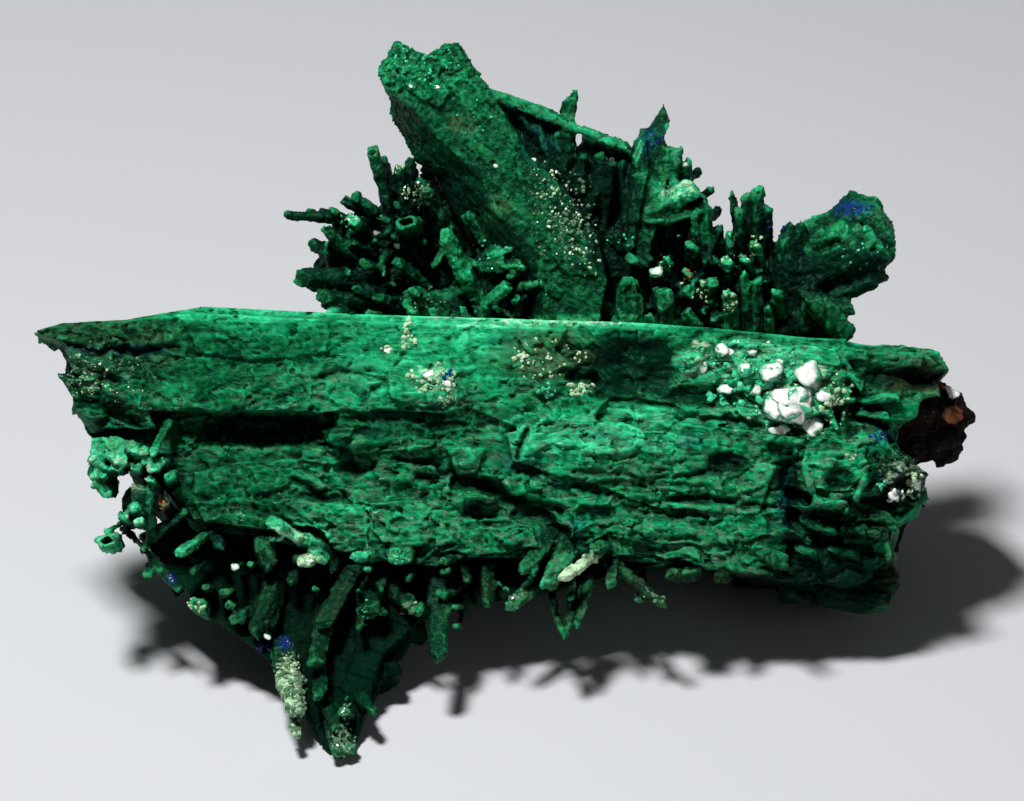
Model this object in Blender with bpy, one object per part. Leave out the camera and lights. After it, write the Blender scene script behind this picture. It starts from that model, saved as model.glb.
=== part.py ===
"""A malachite pseudomorph specimen: one long tabular crystal of malachite after azurite, leaning
back against a spray of smaller crystals, with a lump of brown host rock at its right end.

Every point is measured on the long crystal's face, in millimetres: across to the right of the
middle, up along the face from the lowest crystal, and back behind that crystal. face_point turns
such a point into the world, where +Z is up and the origin is on the flat break underneath.
"""

import math
import random

import bmesh
import bpy
import numpy as np
from mathutils import Matrix, Vector, noise

MM = 0.001

# The whole specimen
LEAN = math.radians(28.0)  # the long crystal's face leans back this far from upright
REST_BACK = 40.9  # from the front crystal's tip back to the origin, along the ground
SEED = 11

# The long crystal is a stack of plates, each an outline of (across, up) points
SLAB_BACK = 27.0
BODY_FRONT = 16.0
BODY_OUTLINE = [
    (-55.4, 53.6), (-47.0, 56.3), (17.7, 54.4), (43.5, 52.4), (52.0, 47.5), (54.6, 36.0), (51.8, 30.6),
    (37.0, 22.5), (25.4, 25.3), (12.6, 26.9), (-6.7, 24.6), (-15.6, 25.2), (-28.5, 28.0), (-40.0, 30.0),
    (-44.8, 36.0), (-53.0, 41.5), (-55.2, 46.0), (-55.8, 49.6),
]  # fmt: skip
TOP_SLANT = 0.10  # the narrow top face drops this much for each millimetre back

# Name, front, back and outline of each ledge that stands proud of the body
LEDGES = [
    ("upper_band", 12.8, 24.0, [
        (-57.0, 53.6), (-50.0, 56.1), (-40.0, 57.2), (-20.1, 56.4), (9.2, 55.2), (10.2, 45.8), (-9.2, 44.0),
        (-22.0, 44.5), (-45.0, 44.7), (-51.8, 45.6), (-54.9, 49.6),
    ]),
    ("top_lip", 13.6, 26.4, [
        (-40.8, 58.0), (-20.0, 57.0), (17.8, 55.8), (26.0, 55.0), (24.0, 53.6), (-40.0, 55.8),
    ]),
    ("left_point", 14.6, 19.5, [(-60.0, 54.8), (-56.6, 55.8), (-47.5, 55.3), (-47.0, 52.5), (-55.9, 52.2)]),
    ("left_shelf", 13.5, 21.0, [(-55.6, 49.3), (-45.5, 49.9), (-44.0, 42.3), (-52.2, 41.6), (-54.8, 44.6)]),
    ("recess_floor", 15.2, 22.0, [(9.0, 54.4), (26.5, 53.4), (27.0, 44.2), (14.0, 43.6), (8.6, 45.0)]),
    ("middle_band", 13.2, 23.0, [
        (-8.2, 46.4), (11.3, 46.9), (14.0, 45.2), (25.0, 43.2), (37.2, 41.2), (36.4, 33.0), (35.2, 25.6),
        (25.0, 26.1), (12.5, 28.2), (7.0, 30.4), (-4.3, 36.2), (-9.4, 39.6),
    ]),
    ("middle_step", 12.1, 20.0, [
        (9.6, 43.7), (24.6, 41.7), (35.4, 37.5), (33.0, 31.2), (18.5, 31.9), (3.4, 38.4),
    ]),
    ("shadow_step", 14.3, 22.0, [
        (-24.4, 42.6), (-13.0, 42.4), (2.3, 41.4), (4.0, 37.4), (-9.0, 36.6), (-20.8, 38.2),
    ]),
    ("lower_panel", 13.4, 22.5, [
        (-42.8, 35.4), (-33.6, 38.2), (-26.0, 37.1), (-21.6, 34.6), (-7.4, 35.5), (-3.0, 33.9), (2.6, 27.9),
        (-6.5, 25.2), (-15.6, 25.9), (-27.9, 28.6), (-39.2, 30.8),
    ]),
    ("lower_lip", 12.5, 20.0, [
        (-27.6, 32.4), (-12.0, 30.6), (-3.2, 31.3), (1.2, 27.4), (-7.2, 24.4), (-21.4, 26.6),
    ]),
    ("lower_step", 14.7, 22.0, [
        (0.4, 30.6), (9.6, 29.0), (24.6, 26.8), (34.6, 27.0), (31.6, 24.0), (12.8, 25.7), (1.0, 27.2),
    ]),
    ("sparkling_zone", 12.3, 22.0, [
        (24.9, 54.3), (35.0, 53.6), (44.2, 52.5), (45.0, 43.4), (39.0, 40.4), (31.0, 42.5), (25.7, 45.7),
    ]),
    ("right_bar", 17.2, 27.6, [
        (42.6, 53.6), (56.6, 52.3), (57.8, 50.2), (56.0, 47.9), (50.6, 46.8), (43.6, 45.6),
    ]),
    ("right_knob", 12.6, 24.0, [
        (38.0, 40.7), (44.7, 43.0), (50.0, 41.3), (52.0, 37.0), (48.4, 33.4), (42.2, 32.7), (37.7, 35.8),
    ]),
    ("right_foot", 18.6, 26.3, [(34.6, 31.3), (51.3, 31.9), (50.2, 19.4), (47.2, 18.9), (35.8, 20.6)]),
]  # fmt: skip
PLATE_TAPER = 0.35  # each plate's front edge is drawn in by this, so that its rim is not square

# The leaning crystal, a thick plate behind the top edge, with its left side in view
LEANER_FRONT = 22.5
LEANER_BACK = 28.5
LEANER_RIGHT = [
    (-16.0, 88.8), (-13.6, 92.2), (-9.6, 90.4), (-5.8, 92.0), (-1.0, 85.0), (3.6, 77.6), (8.7, 72.5),
    (12.7, 66.8), (13.7, 61.0), (11.8, 50.0),
]  # fmt: skip
LEANER_LEFT = [
    (6.4, 50.0), (5.6, 60.0), (1.4, 66.8), (-3.0, 74.5), (-7.7, 79.4), (-12.1, 84.0), (-15.2, 86.2),
]  # fmt: skip
LEANER_LEFT_BEHIND = [
    (2.4, 50.0), (1.8, 57.6), (-2.9, 64.4), (-7.6, 72.4), (-11.6, 77.0), (-14.4, 82.0), (-14.8, 85.4),
]  # fmt: skip

# The tongue, a dark blade that runs down to the front tip, and the cores that the crystals grow from
TONGUE_FRONT = 0.6
TONGUE_THICK = 5.5
TONGUE_SLOPE = 0.70  # it comes forward by this for each millimetre down
TONGUE_OUTLINE = [
    (-47.0, 28.4), (-38.6, 18.9), (-29.4, 12.4), (-22.4, 1.6), (-20.6, 0.0), (-18.6, 1.4), (-17.2, 7.0),
    (-15.0, 13.0), (-9.5, 18.4), (12.0, 22.6), (22.0, 25.5), (7.4, 29.4), (-38.7, 33.4),
]  # fmt: skip

# Centre (across, up, back) and half sizes of each core, a knot of blocky crystals that cross in it
CORES = [
    ((8.0, 55.0, 36.0), (31.0, 10.0, 12.0)),
    ((1.0, 36.0, 44.0), (44.0, 18.5, 19.0)),
    ((-34.0, 34.5, 27.5), (12.5, 10.5, 9.0)),
    ((28.0, 47.0, 32.0), (18.0, 11.0, 11.0)),
    ((-16.0, 62.0, 34.0), (9.0, 8.5, 6.5)),
    ((17.0, 66.0, 34.5), (11.0, 10.0, 5.5)),
    ((34.0, 60.0, 33.5), (9.0, 8.0, 6.0)),
]  # fmt: skip
KNOT_SHARE = 0.8  # size of the lump inside a core, as a share of the core
KNOT_ROUGHNESS = 0.3
BLOCK_COUNTS = [12, 28, 8, 8, 6, 6, 6]  # for each core in turn
BLOCK_WIDTHS = (0.7, 1.1)  # as a share of the core's least half size
BLOCK_REACH = (0.92, 1.12)  # where a block ends, as a share of the way to the core's surface
BLOCK_START = -0.2  # where it starts, on the far side of the core's middle

# How high the spray stands behind the long crystal, from left to right
SKYLINE = [
    (-60, 50), (-30, 55), (-25, 66), (-14, 74), (-8, 76), (3, 74), (8, 79), (17, 79), (27, 71), (33, 71),
    (39, 67), (42, 58), (45, 50), (60, 46),
]  # fmt: skip

# The host rock: a body behind the right end that reaches the ground, and a nose beside the slab
ROCK_LUMPS = [
    ((39.5, 33.5, 41.0), (13.5, 14.0, 13.0)),
    ((51.5, 43.6, 29.5), (8.8, 6.2, 9.5)),
]  # fmt: skip
ROCK_ROUGHNESS = 0.3
ROCK_GAP = 0.45  # room between the rock and the crystals
LUMP_GRAIN = 2.3  # how many bumps of noise cross a lump

# Crystals placed by eye, each as its foot, its tip, its width and the kind of end it has
UPPER_LEFT = [
    ((-10.5, 68.6, 32.0), (-28.4, 69.4, 28.0), 2.1, "point"),
    ((-11.5, 62.0, 32.0), (-17.0, 79.0, 26.0), 3.2, "hollow"),
    ((-12.0, 62.0, 29.0), (-17.8, 72.6, 25.0), 2.8, "blunt"),
    ((-16.0, 63.0, 31.0), (-25.8, 66.4, 28.0), 2.7, "blunt"),
    ((-14.0, 61.0, 30.0), (-23.4, 69.0, 25.5), 3.0, "chisel"),
    ((-17.0, 60.0, 29.0), (-26.6, 62.2, 25.0), 3.6, "blunt"),
    ((-17.0, 57.0, 30.0), (-26.2, 58.9, 27.0), 2.8, "chisel"),
    ((-10.0, 62.0, 32.0), (-10.0, 77.6, 27.5), 2.7, "blunt"),
    ((-11.0, 64.0, 33.0), (-12.4, 78.6, 30.0), 1.8, "point"),
    ((-14.5, 62.0, 34.0), (-12.4, 69.2, 22.5), 3.0, "hollow"),
    ((-17.0, 64.5, 32.0), (-19.2, 69.0, 23.5), 2.4, "hollow"),
    ((-8.0, 63.0, 30.0), (-6.6, 74.0, 24.0), 2.6, "chisel"),
    ((-1.6, 56.0, 28.5), (-8.4, 67.2, 22.5), 3.7, "blunt"),
    ((1.6, 60.0, 30.0), (-5.2, 70.4, 24.0), 3.5, "chisel"),
    ((-1.0, 59.6, 26.5), (4.8, 61.2, 24.5), 2.5, "blunt"),
    ((-3.4, 63.0, 26.5), (3.6, 63.8, 23.6), 2.9, "blunt"),
    ((-2.6, 65.6, 27.0), (3.0, 67.0, 24.0), 2.1, "chisel"),
    ((-2.2, 56.8, 25.5), (2.2, 60.6, 22.0), 2.6, "blunt"),
    ((6.0, 53.8, 22.0), (5.6, 59.4, 19.8), 0.9, "chisel"),
    ((-5.0, 54.0, 26.0), (-12.6, 60.8, 21.5), 4.2, "chisel"),
    ((-17.0, 54.0, 25.0), (-20.6, 59.6, 21.5), 3.0, "chisel"),
    ((-12.0, 56.0, 30.0), (-19.4, 61.0, 22.0), 3.3, "blunt"),
    ((-9.0, 58.0, 31.0), (-15.0, 65.4, 22.4), 2.9, "chisel"),
    ((-8.0, 60.0, 34.0), (-9.4, 74.0, 31.5), 5.0, "blunt"),
    ((-4.0, 58.0, 34.0), (-7.0, 71.0, 32.0), 5.5, "chisel"),
    ((-14.0, 60.0, 35.0), (-17.8, 71.0, 32.0), 5.0, "blunt"),
    ((-10.0, 58.0, 34.0), (-13.0, 67.0, 30.5), 6.0, "blunt"),
    ((-15.0, 57.0, 34.0), (-24.8, 66.0, 30.5), 4.8, "blunt"),
    ((-15.0, 56.0, 34.0), (-25.6, 60.6, 29.5), 4.8, "chisel"),
]  # fmt: skip
UPPER_RIGHT = [
    ((-1.6, 85.6, 27.0), (18.4, 78.2, 27.5), 1.7, "blunt"),
    ((7.0, 79.4, 28.5), (9.6, 87.2, 27.5), 2.6, "blunt"),
    ((7.4, 66.0, 31.0), (7.0, 82.4, 29.0), 4.2, "chisel"),
    ((11.5, 62.0, 33.0), (12.2, 79.0, 29.5), 3.0, "blunt"),
    ((9.6, 66.0, 31.5), (13.6, 76.4, 25.8), 2.8, "blunt"),
    ((14.0, 62.0, 32.0), (16.4, 78.2, 28.5), 2.7, "blunt"),
    ((16.4, 62.0, 31.0), (20.5, 82.6, 26.5), 3.5, "point"),
    ((18.5, 61.0, 33.0), (18.0, 78.4, 28.5), 3.4, "chisel"),
    ((19.8, 62.0, 32.0), (22.6, 79.6, 29.0), 3.2, "blunt"),
    ((20.6, 64.0, 33.0), (24.8, 76.4, 28.5), 2.9, "blunt"),
    ((19.6, 70.0, 30.0), (25.6, 73.4, 24.5), 3.2, "blunt"),
    ((26.0, 57.0, 30.0), (25.8, 72.6, 26.0), 2.9, "chisel"),
    ((28.4, 57.0, 31.0), (27.6, 71.6, 28.0), 2.6, "blunt"),
    ((32.2, 57.0, 30.0), (31.8, 73.8, 26.5), 5.1, "blunt"),
    ((31.0, 62.0, 29.0), (29.4, 73.4, 27.5), 1.5, "point"),
    ((34.6, 57.0, 32.0), (34.6, 71.2, 28.0), 2.6, "chisel"),
    ((38.0, 56.0, 30.0), (37.2, 69.6, 26.5), 4.3, "point"),
    ((35.0, 57.0, 33.0), (50.8, 68.0, 26.5), 9.0, "blunt"),
    ((36.6, 61.0, 31.0), (47.6, 71.4, 25.6), 4.8, "chisel"),
    ((40.0, 58.0, 30.0), (45.8, 57.8, 26.5), 3.1, "blunt"),
    ((43.0, 50.0, 27.0), (38.4, 61.0, 21.5), 5.6, "chisel"),
    ((22.6, 53.0, 25.5), (19.0, 62.4, 21.6), 5.2, "chisel"),
    ((26.4, 53.0, 26.0), (24.4, 59.6, 22.0), 3.4, "chisel"),
    ((15.0, 56.0, 28.0), (17.4, 65.4, 23.5), 3.0, "blunt"),
    ((30.0, 56.0, 29.0), (29.6, 66.4, 22.8), 2.4, "hollow"),
    ((31.0, 54.0, 27.0), (27.8, 61.4, 21.8), 3.6, "blunt"),
    ((35.0, 54.0, 27.0), (33.6, 62.8, 22.4), 3.1, "blunt"),
    ((23.0, 60.0, 31.0), (22.4, 66.8, 23.4), 2.4, "hollow"),
    ((36.6, 54.0, 27.0), (36.0, 59.0, 21.4), 3.4, "chisel"),
    ((27.0, 62.0, 31.0), (21.6, 69.0, 25.0), 2.1, "chisel"),
    ((12.0, 60.0, 34.0), (4.4, 80.4, 31.5), 6.5, "chisel"),
    ((14.0, 60.0, 35.0), (10.4, 76.8, 32.5), 6.0, "blunt"),
    ((17.0, 60.0, 36.0), (16.6, 76.0, 32.5), 6.5, "blunt"),
    ((24.0, 59.0, 35.0), (25.2, 70.5, 31.5), 6.0, "blunt"),
]  # fmt: skip
FRINGE = [
    ((-41.5, 38.5, 22.5), (-52.3, 39.2, 13.5), 4.6, "blunt"),
    ((-42.0, 37.0, 23.0), (-49.4, 40.2, 12.6), 4.4, "blunt"),
    ((-42.0, 36.5, 22.0), (-51.8, 35.6, 14.5), 2.7, "blunt"),
    ((-42.6, 27.0, 21.0), (-45.8, 35.4, 13.0), 3.1, "blunt"),
    ((-43.0, 30.8, 22.0), (-51.0, 27.8, 13.0), 2.6, "hollow"),
    ((-42.6, 43.6, 18.0), (-44.9, 37.6, 12.0), 1.3, "chisel"),
    ((-42.5, 37.4, 20.0), (-43.6, 38.4, 12.8), 2.3, "hollow"),
    ((-41.0, 36.0, 20.0), (-42.0, 36.4, 12.6), 2.3, "hollow"),
    ((-40.5, 26.6, 21.5), (-45.5, 23.4, 15.5), 1.6, "blunt"),
    ((-36.0, 28.6, 18.0), (-41.3, 26.6, 12.0), 2.4, "blunt"),
    ((-35.0, 28.6, 19.0), (-34.0, 27.2, 12.5), 2.2, "chisel"),
    ((-31.0, 27.6, 19.0), (-32.6, 23.6, 11.5), 3.3, "chisel"),
    ((-24.8, 26.6, 15.5), (-30.3, 30.3, 10.5), 3.1, "blunt"),
    ((-22.0, 26.6, 18.0), (-26.0, 25.2, 10.8), 2.8, "blunt"),
    ((-19.0, 27.6, 17.0), (-19.6, 24.4, 11.4), 2.6, "blunt"),
    ((-34.5, 23.6, 19.5), (-38.9, 19.4, 12.5), 2.5, "hollow"),
    ((-33.4, 24.4, 20.0), (-38.1, 22.4, 12.5), 1.7, "blunt"),
    ((-33.0, 22.6, 19.0), (-35.8, 21.3, 11.5), 1.8, "hollow"),
    ((-30.6, 21.6, 18.0), (-34.2, 18.6, 10.0), 3.2, "blunt"),
    ((-29.0, 21.4, 15.0), (-32.4, 15.2, 8.0), 3.8, "blunt"),
    ((-29.0, 18.0, 12.5), (-29.8, 15.0, 7.5), 1.3, "point"),
    ((-20.6, 23.4, 17.0), (-24.4, 15.6, 8.0), 3.2, "blunt"),
    ((-24.2, 17.6, 9.8), (-24.4, 9.6, 4.6), 2.9, "blunt"),
    ((-24.2, 11.6, 6.6), (-22.6, 5.0, 3.0), 2.3, "blunt"),
    ((-28.0, 15.5, 11.0), (-26.4, 3.6, 4.4), 3.3, "chisel"),
    ((-26.0, 9.0, 6.8), (-20.4, 0.0, 0.6), 3.4, "blunt"),
    ((-21.4, 7.0, 5.5), (-19.6, 0.4, 1.0), 2.8, "blunt"),
    ((-20.6, 6.0, 5.4), (-20.4, 8.9, 2.2), 2.2, "point"),
    ((-19.0, 5.0, 5.0), (-16.6, 7.4, 2.6), 2.0, "point"),
    ((-17.6, 24.0, 17.0), (-17.8, 17.4, 10.5), 3.5, "chisel"),
    ((-14.0, 23.4, 18.0), (-10.6, 18.8, 12.0), 2.2, "chisel"),
    ((-9.6, 22.0, 17.5), (-8.4, 12.4, 14.0), 3.1, "chisel"),
    ((-7.0, 24.6, 18.0), (-8.8, 20.6, 12.6), 2.4, "blunt"),
    ((-2.0, 25.4, 18.0), (-1.8, 19.7, 13.0), 2.0, "chisel"),
    ((4.4, 24.4, 18.0), (0.9, 19.2, 12.6), 2.8, "blunt"),
    ((11.8, 26.6, 16.0), (4.4, 21.2, 11.0), 2.9, "blunt"),
    ((8.4, 27.6, 17.0), (5.6, 23.6, 11.8), 2.8, "chisel"),
    ((10.6, 23.0, 18.0), (10.7, 20.8, 13.5), 1.6, "blunt"),
    ((9.4, 22.0, 17.0), (7.8, 15.4, 11.5), 2.1, "point"),
    ((10.6, 22.0, 17.0), (9.4, 16.6, 12.0), 1.1, "point"),
    ((16.0, 24.6, 18.0), (13.9, 22.4, 13.2), 1.9, "blunt"),
    ((17.4, 24.0, 19.0), (21.0, 19.4, 14.0), 2.5, "chisel"),
    ((23.0, 25.4, 20.0), (23.9, 23.0, 13.6), 2.0, "blunt"),
    ((26.0, 25.4, 20.0), (27.8, 23.2, 13.8), 2.3, "blunt"),
    ((32.6, 28.0, 17.0), (37.0, 24.2, 12.2), 2.7, "chisel"),
]  # fmt: skip

# Crystals that fill the spray over the top, the sides and the back, grown by rule from the cores
SPRAY_COUNTS = [34, 92, 18, 18, 12, 12, 10]  # for each core in turn
SPRAY_LENGTHS = (4.0, 9.0)
SPRAY_WIDTHS = (2.4, 6.0)
SPRAY_WOBBLE = 0.3
SPRAY_ROOT = 0.6  # where a crystal starts, as a share of the way to the core's surface
LEAST_HEIGHT = 1.5  # a tip nearer the ground than this is left out
GOLDEN_ANGLE = math.pi * (3 - math.sqrt(5))

# Crystals under the tongue, one behind the other from the tip up
KEEL_COUNT = 16
KEEL_START = (-20.6, 3.0)
KEEL_END = (-16.0, 27.0)
KEEL_SPREAD = 9.0  # how far the topmost ones stand to the sides
KEEL_LENGTHS = (3.0, 6.0)
KEEL_WIDTHS = (3.0, 5.0)

# A crystal's own shape
CRYSTAL_SIDES = 6
CRYSTAL_FLATNESS = 0.68  # thickness as a share of width
CRYSTAL_NARROWING = 0.92  # width at the tip as a share of the width at the foot
HOLLOW_WALL = 0.13  # as a share of the width
HOLLOW_DEPTH = 0.5

# The planes that cut each kind of end: how far below the tip, as a share of the width, and the
# direction that each plane faces
END_CUTS = {
    "blunt": [(0.2, (0.25, 0.12, 1.0))],
    "hollow": [(0.2, (0.25, 0.12, 1.0))],
    "chisel": [(0.15, (0.85, 0.15, 0.75)), (0.15, (-0.85, 0.1, 0.9))],
    "point": [(0.1, (0.9, 0.1, 0.45)), (0.1, (-0.9, 0.2, 0.5)), (0.1, (0.1, -0.8, 0.6))],
}

GROUND_SIZE = (160.0, 160.0, 30.0)  # the block that is cut away below the flat break


def face_point(across, up, back):
    """The world point of one measured on the long crystal's face."""
    y = up * math.sin(LEAN) + back * math.cos(LEAN) - REST_BACK
    z = up * math.cos(LEAN) - back * math.sin(LEAN)
    return Vector((across, y, z)) * MM


def new_object(name, mesh, material=None):
    """Links an object that holds the mesh, and gives it its material."""
    obj = bpy.data.objects.new(name, mesh)
    bpy.context.scene.collection.objects.link(obj)
    if material is not None:
        mesh.materials.append(material)
    return obj


def new_material(name, colour, roughness):
    """A plain Principled material."""
    material = bpy.data.materials.new(name)
    material.use_nodes = True
    shader = material.node_tree.nodes["Principled BSDF"]
    shader.inputs["Base Color"].default_value = (*colour, 1.0)
    shader.inputs["Roughness"].default_value = roughness
    shader.inputs["Metallic"].default_value = 0.0
    return material


def append_shape(target, shape):
    """Moves a finished bmesh into the target bmesh, with its faces turned outward."""
    shape.normal_update()
    bmesh.ops.recalc_face_normals(shape, faces=shape.faces)
    mesh = bpy.data.meshes.new("shape")
    shape.to_mesh(mesh)
    shape.free()
    target.from_mesh(mesh)
    bpy.data.meshes.remove(mesh)


def add_plate(target, outline, front, back, outline_behind=None, slope=0.0, slant=0.0):
    """One plate between an outline at the front and one at the back, with a wall of four-sided faces.

    slope brings the lower points forward, and slant drops the back outline by a share of the
    plate's thickness.
    """
    shape = bmesh.new()
    middle = Vector((sum(p[0] for p in outline), sum(p[1] for p in outline))) / len(outline)
    front_ring, back_ring = [], []
    for point, behind in zip(outline, outline_behind or outline):
        inward = Vector(point) + (middle - Vector(point)).normalized() * PLATE_TAPER
        front_ring.append(shape.verts.new((inward.x, inward.y, front + slope * point[1])))
        dropped = behind[1] - slant * (back - front)
        back_ring.append(shape.verts.new((behind[0], dropped, back + slope * behind[1])))
    shape.faces.new(front_ring)
    shape.faces.new(back_ring)
    for i in range(len(outline)):
        shape.faces.new((front_ring[i - 1], front_ring[i], back_ring[i], back_ring[i - 1]))
    for vert in shape.verts:
        vert.co = face_point(*vert.co)
    append_shape(target, shape)


def add_lump(target, centre, half_sizes, detail, roughness, swell=0.0):
    """One rough lump: an icosphere pushed in and out by noise, stretched to its half sizes."""
    shape = bmesh.new()
    bmesh.ops.create_icosphere(shape, subdivisions=detail, radius=1.0)
    for vert in shape.verts:
        direction = vert.co.normalized()
        bump = 1.0 + roughness * noise.noise(direction * LUMP_GRAIN + Vector(centre))
        point = [centre[i] + direction[i] * (half_sizes[i] * bump + swell) for i in range(3)]
        vert.co = face_point(*point)
    append_shape(target, shape)


def cut_end(shape, point, normal):
    """Cuts off what lies beyond a plane, and closes the cut with a flat face."""
    geometry = shape.verts[:] + shape.edges[:] + shape.faces[:]
    bmesh.ops.bisect_plane(shape, geom=geometry, plane_co=point, plane_no=normal, clear_outer=True)
    bmesh.ops.holes_fill(shape, edges=[edge for edge in shape.edges if edge.is_boundary])


def sink_end(shape, width):
    """Hollows out the end face, as where a crystal's core has dissolved."""
    top = max(shape.faces, key=lambda face: face.calc_center_median().z)
    bmesh.ops.inset_individual(shape, faces=[top], thickness=HOLLOW_WALL * width)
    sunk = bmesh.ops.extrude_discrete_faces(shape, faces=[top])["faces"][0]
    bmesh.ops.translate(shape, vec=(0, 0, -HOLLOW_DEPTH * width), verts=sunk.verts)


def add_crystal(target, foot, tip, width_mm, end, roll=0.0):
    """One six-sided crystal from its foot to its tip, both in the face's millimetres."""
    start, finish = face_point(*foot), face_point(*tip)
    length, width = (finish - start).length, width_mm * MM
    shape = bmesh.new()
    bmesh.ops.create_cone(
        shape,
        cap_ends=True,
        segments=CRYSTAL_SIDES,
        radius1=width / 2,
        radius2=CRYSTAL_NARROWING * width / 2,
        depth=length,
        matrix=Matrix.Translation((0, 0, length / 2)),
    )
    bmesh.ops.scale(shape, vec=(1.0, CRYSTAL_FLATNESS, 1.0), verts=shape.verts)
    for below, normal in END_CUTS[end]:
        cut_end(shape, Vector((0, 0, length - below * width)), Vector(normal).normalized())
    if end == "hollow":
        sink_end(shape, width)
    axis = (finish - start).normalized()
    turn = axis.to_track_quat("Z", "Y").to_matrix().to_4x4() @ Matrix.Rotation(roll, 4, "Z")
    bmesh.ops.transform(shape, matrix=Matrix.Translation(start) @ turn, verts=shape.verts)
    append_shape(target, shape)


def spray_directions(count):
    """Directions spread evenly over a sphere, by the golden angle."""
    for i in range(count):
        rise = 1 - 2 * (i + 0.5) / count
        ring = math.sqrt(1 - rise * rise)
        yield Vector((ring * math.cos(i * GOLDEN_ANGLE), ring * math.sin(i * GOLDEN_ANGLE), rise))


def below_skyline(point):
    """Whether a point in the face's millimetres stays below the top of the spray."""
    across, heights = zip(*SKYLINE)
    return point[1] < np.interp(point[0], across, heights)


def core_blocks(chance):
    """The blocky crystals of each core, which cross at its middle and end at its surface."""
    for (centre, half_sizes), count in zip(CORES, BLOCK_COUNTS):
        for direction in spray_directions(count):
            width = chance.uniform(*BLOCK_WIDTHS) * min(half_sizes)
            reach = chance.uniform(*BLOCK_REACH)
            roll = chance.uniform(0, math.pi)
            foot = [centre[i] + BLOCK_START * direction[i] * half_sizes[i] for i in range(3)]
            tip = [centre[i] + reach * direction[i] * half_sizes[i] for i in range(3)]
            if direction.z > -0.2 and below_skyline(tip):
                yield foot, tip, width, "blunt", roll


def spray_crystals(chance):
    """The crystals that no one placed: they stand out of the cores, but not in front of the slab."""
    for (centre, half_sizes), count in zip(CORES, SPRAY_COUNTS):
        for direction in spray_directions(count):
            wobble = Vector([chance.uniform(-SPRAY_WOBBLE, SPRAY_WOBBLE) for _ in range(3)])
            length = chance.uniform(*SPRAY_LENGTHS)
            width = chance.uniform(*SPRAY_WIDTHS)
            end = chance.choice(["chisel", "blunt", "blunt", "point"])
            roll = chance.uniform(0, math.pi)
            aim = (direction + wobble).normalized()
            foot = [centre[i] + SPRAY_ROOT * direction[i] * half_sizes[i] for i in range(3)]
            tip = [centre[i] + direction[i] * half_sizes[i] + aim[i] * length for i in range(3)]
            hidden = direction.z < 0.1  # it would come out through the slab's face
            buried = face_point(*tip).z < LEAST_HEIGHT * MM
            if below_skyline(tip) and not (hidden or buried):
                yield foot, tip, width, end, roll


def keel_crystals(chance):
    """The crystals that hang under the tongue, more widely spread towards its root."""
    for i in range(KEEL_COUNT):
        along = i / (KEEL_COUNT - 1)
        across = KEEL_START[0] + along * (KEEL_END[0] - KEEL_START[0])
        across += (1 if i % 2 else -1) * along * KEEL_SPREAD
        up = KEEL_START[1] + along * (KEEL_END[1] - KEEL_START[1])
        back = TONGUE_FRONT + TONGUE_SLOPE * up
        foot = (across, up, back + 0.4 * TONGUE_THICK)
        reach = TONGUE_THICK + chance.uniform(*KEEL_LENGTHS)
        tip = (across + chance.uniform(-3, 3), up - 1.5, back + reach)
        yield foot, tip, chance.uniform(*KEEL_WIDTHS), "blunt", chance.uniform(0, math.pi)


def combine(solid, other, operation, name):
    """Joins another mesh to the solid or cuts it out, and joins what crosses inside each of them."""
    step = solid.modifiers.new(name, "BOOLEAN")
    step.operation = operation
    step.object = other
    step.use_self = True
    other.hide_render = True
    other.display_type = "WIRE"


def linked_verts(start):
    """All the vertices that edges connect to the first one."""
    found, waiting = {start}, [start]
    while waiting:
        for edge in waiting.pop().link_edges:
            for vert in edge.verts:
                if vert not in found:
                    found.add(vert)
                    waiting.append(vert)
    return found


def keep_outer_skin(obj):
    """Applies the Booleans, then fills the sealed hollows between crystals by removing their walls."""
    shape = bmesh.new()
    shape.from_object(obj, bpy.context.evaluated_depsgraph_get())
    left, skin = set(shape.verts), set()
    while left:
        piece = linked_verts(next(iter(left)))
        left -= piece
        skin = max(skin, piece, key=len)
    bmesh.ops.delete(shape, geom=[vert for vert in shape.verts if vert not in skin], context="VERTS")
    obj.modifiers.clear()
    shape.to_mesh(obj.data)
    shape.free()


def mesh_of(name, fill):
    """A new mesh that the function fill has filled with shapes."""
    collected = bmesh.new()
    fill(collected)
    mesh = bpy.data.meshes.new(name)
    collected.to_mesh(mesh)
    collected.free()
    return mesh


def fill_slab(target):
    """The long crystal with its ledges, the leaning crystal, the tongue and the knots at the cores."""
    add_plate(target, BODY_OUTLINE, BODY_FRONT, SLAB_BACK, slant=TOP_SLANT)
    for _, front, back, outline in LEDGES:
        add_plate(target, outline, front, back, slant=TOP_SLANT)
    leaner = (LEANER_RIGHT + LEANER_LEFT, LEANER_RIGHT + LEANER_LEFT_BEHIND)
    add_plate(target, leaner[0], LEANER_FRONT, LEANER_BACK, outline_behind=leaner[1])
    add_plate(target, TONGUE_OUTLINE, TONGUE_FRONT, TONGUE_FRONT + TONGUE_THICK, slope=TONGUE_SLOPE)
    for centre, half_sizes in CORES:
        knot = [KNOT_SHARE * size for size in half_sizes]
        add_lump(target, centre, knot, detail=1, roughness=KNOT_ROUGHNESS)


def fill_crystals(target):
    """Every small crystal: those placed by eye, and those grown by rule."""
    chance = random.Random(SEED)
    for foot, tip, width, end in UPPER_LEFT + UPPER_RIGHT + FRINGE:
        add_crystal(target, foot, tip, width, end, roll=chance.uniform(-0.5, 0.5))
    for grown in (core_blocks, spray_crystals, keel_crystals):
        for foot, tip, width, end, roll in grown(chance):
            add_crystal(target, foot, tip, width, end, roll)


def fill_ground(target):
    """The block below the flat break."""
    shape = bmesh.new()
    size = Vector(GROUND_SIZE) * MM
    place = Matrix.Translation((0, 0, -size.z / 2)) @ Matrix.Diagonal((*size, 1.0))
    bmesh.ops.create_cube(shape, size=1.0, matrix=place)
    append_shape(target, shape)


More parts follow.
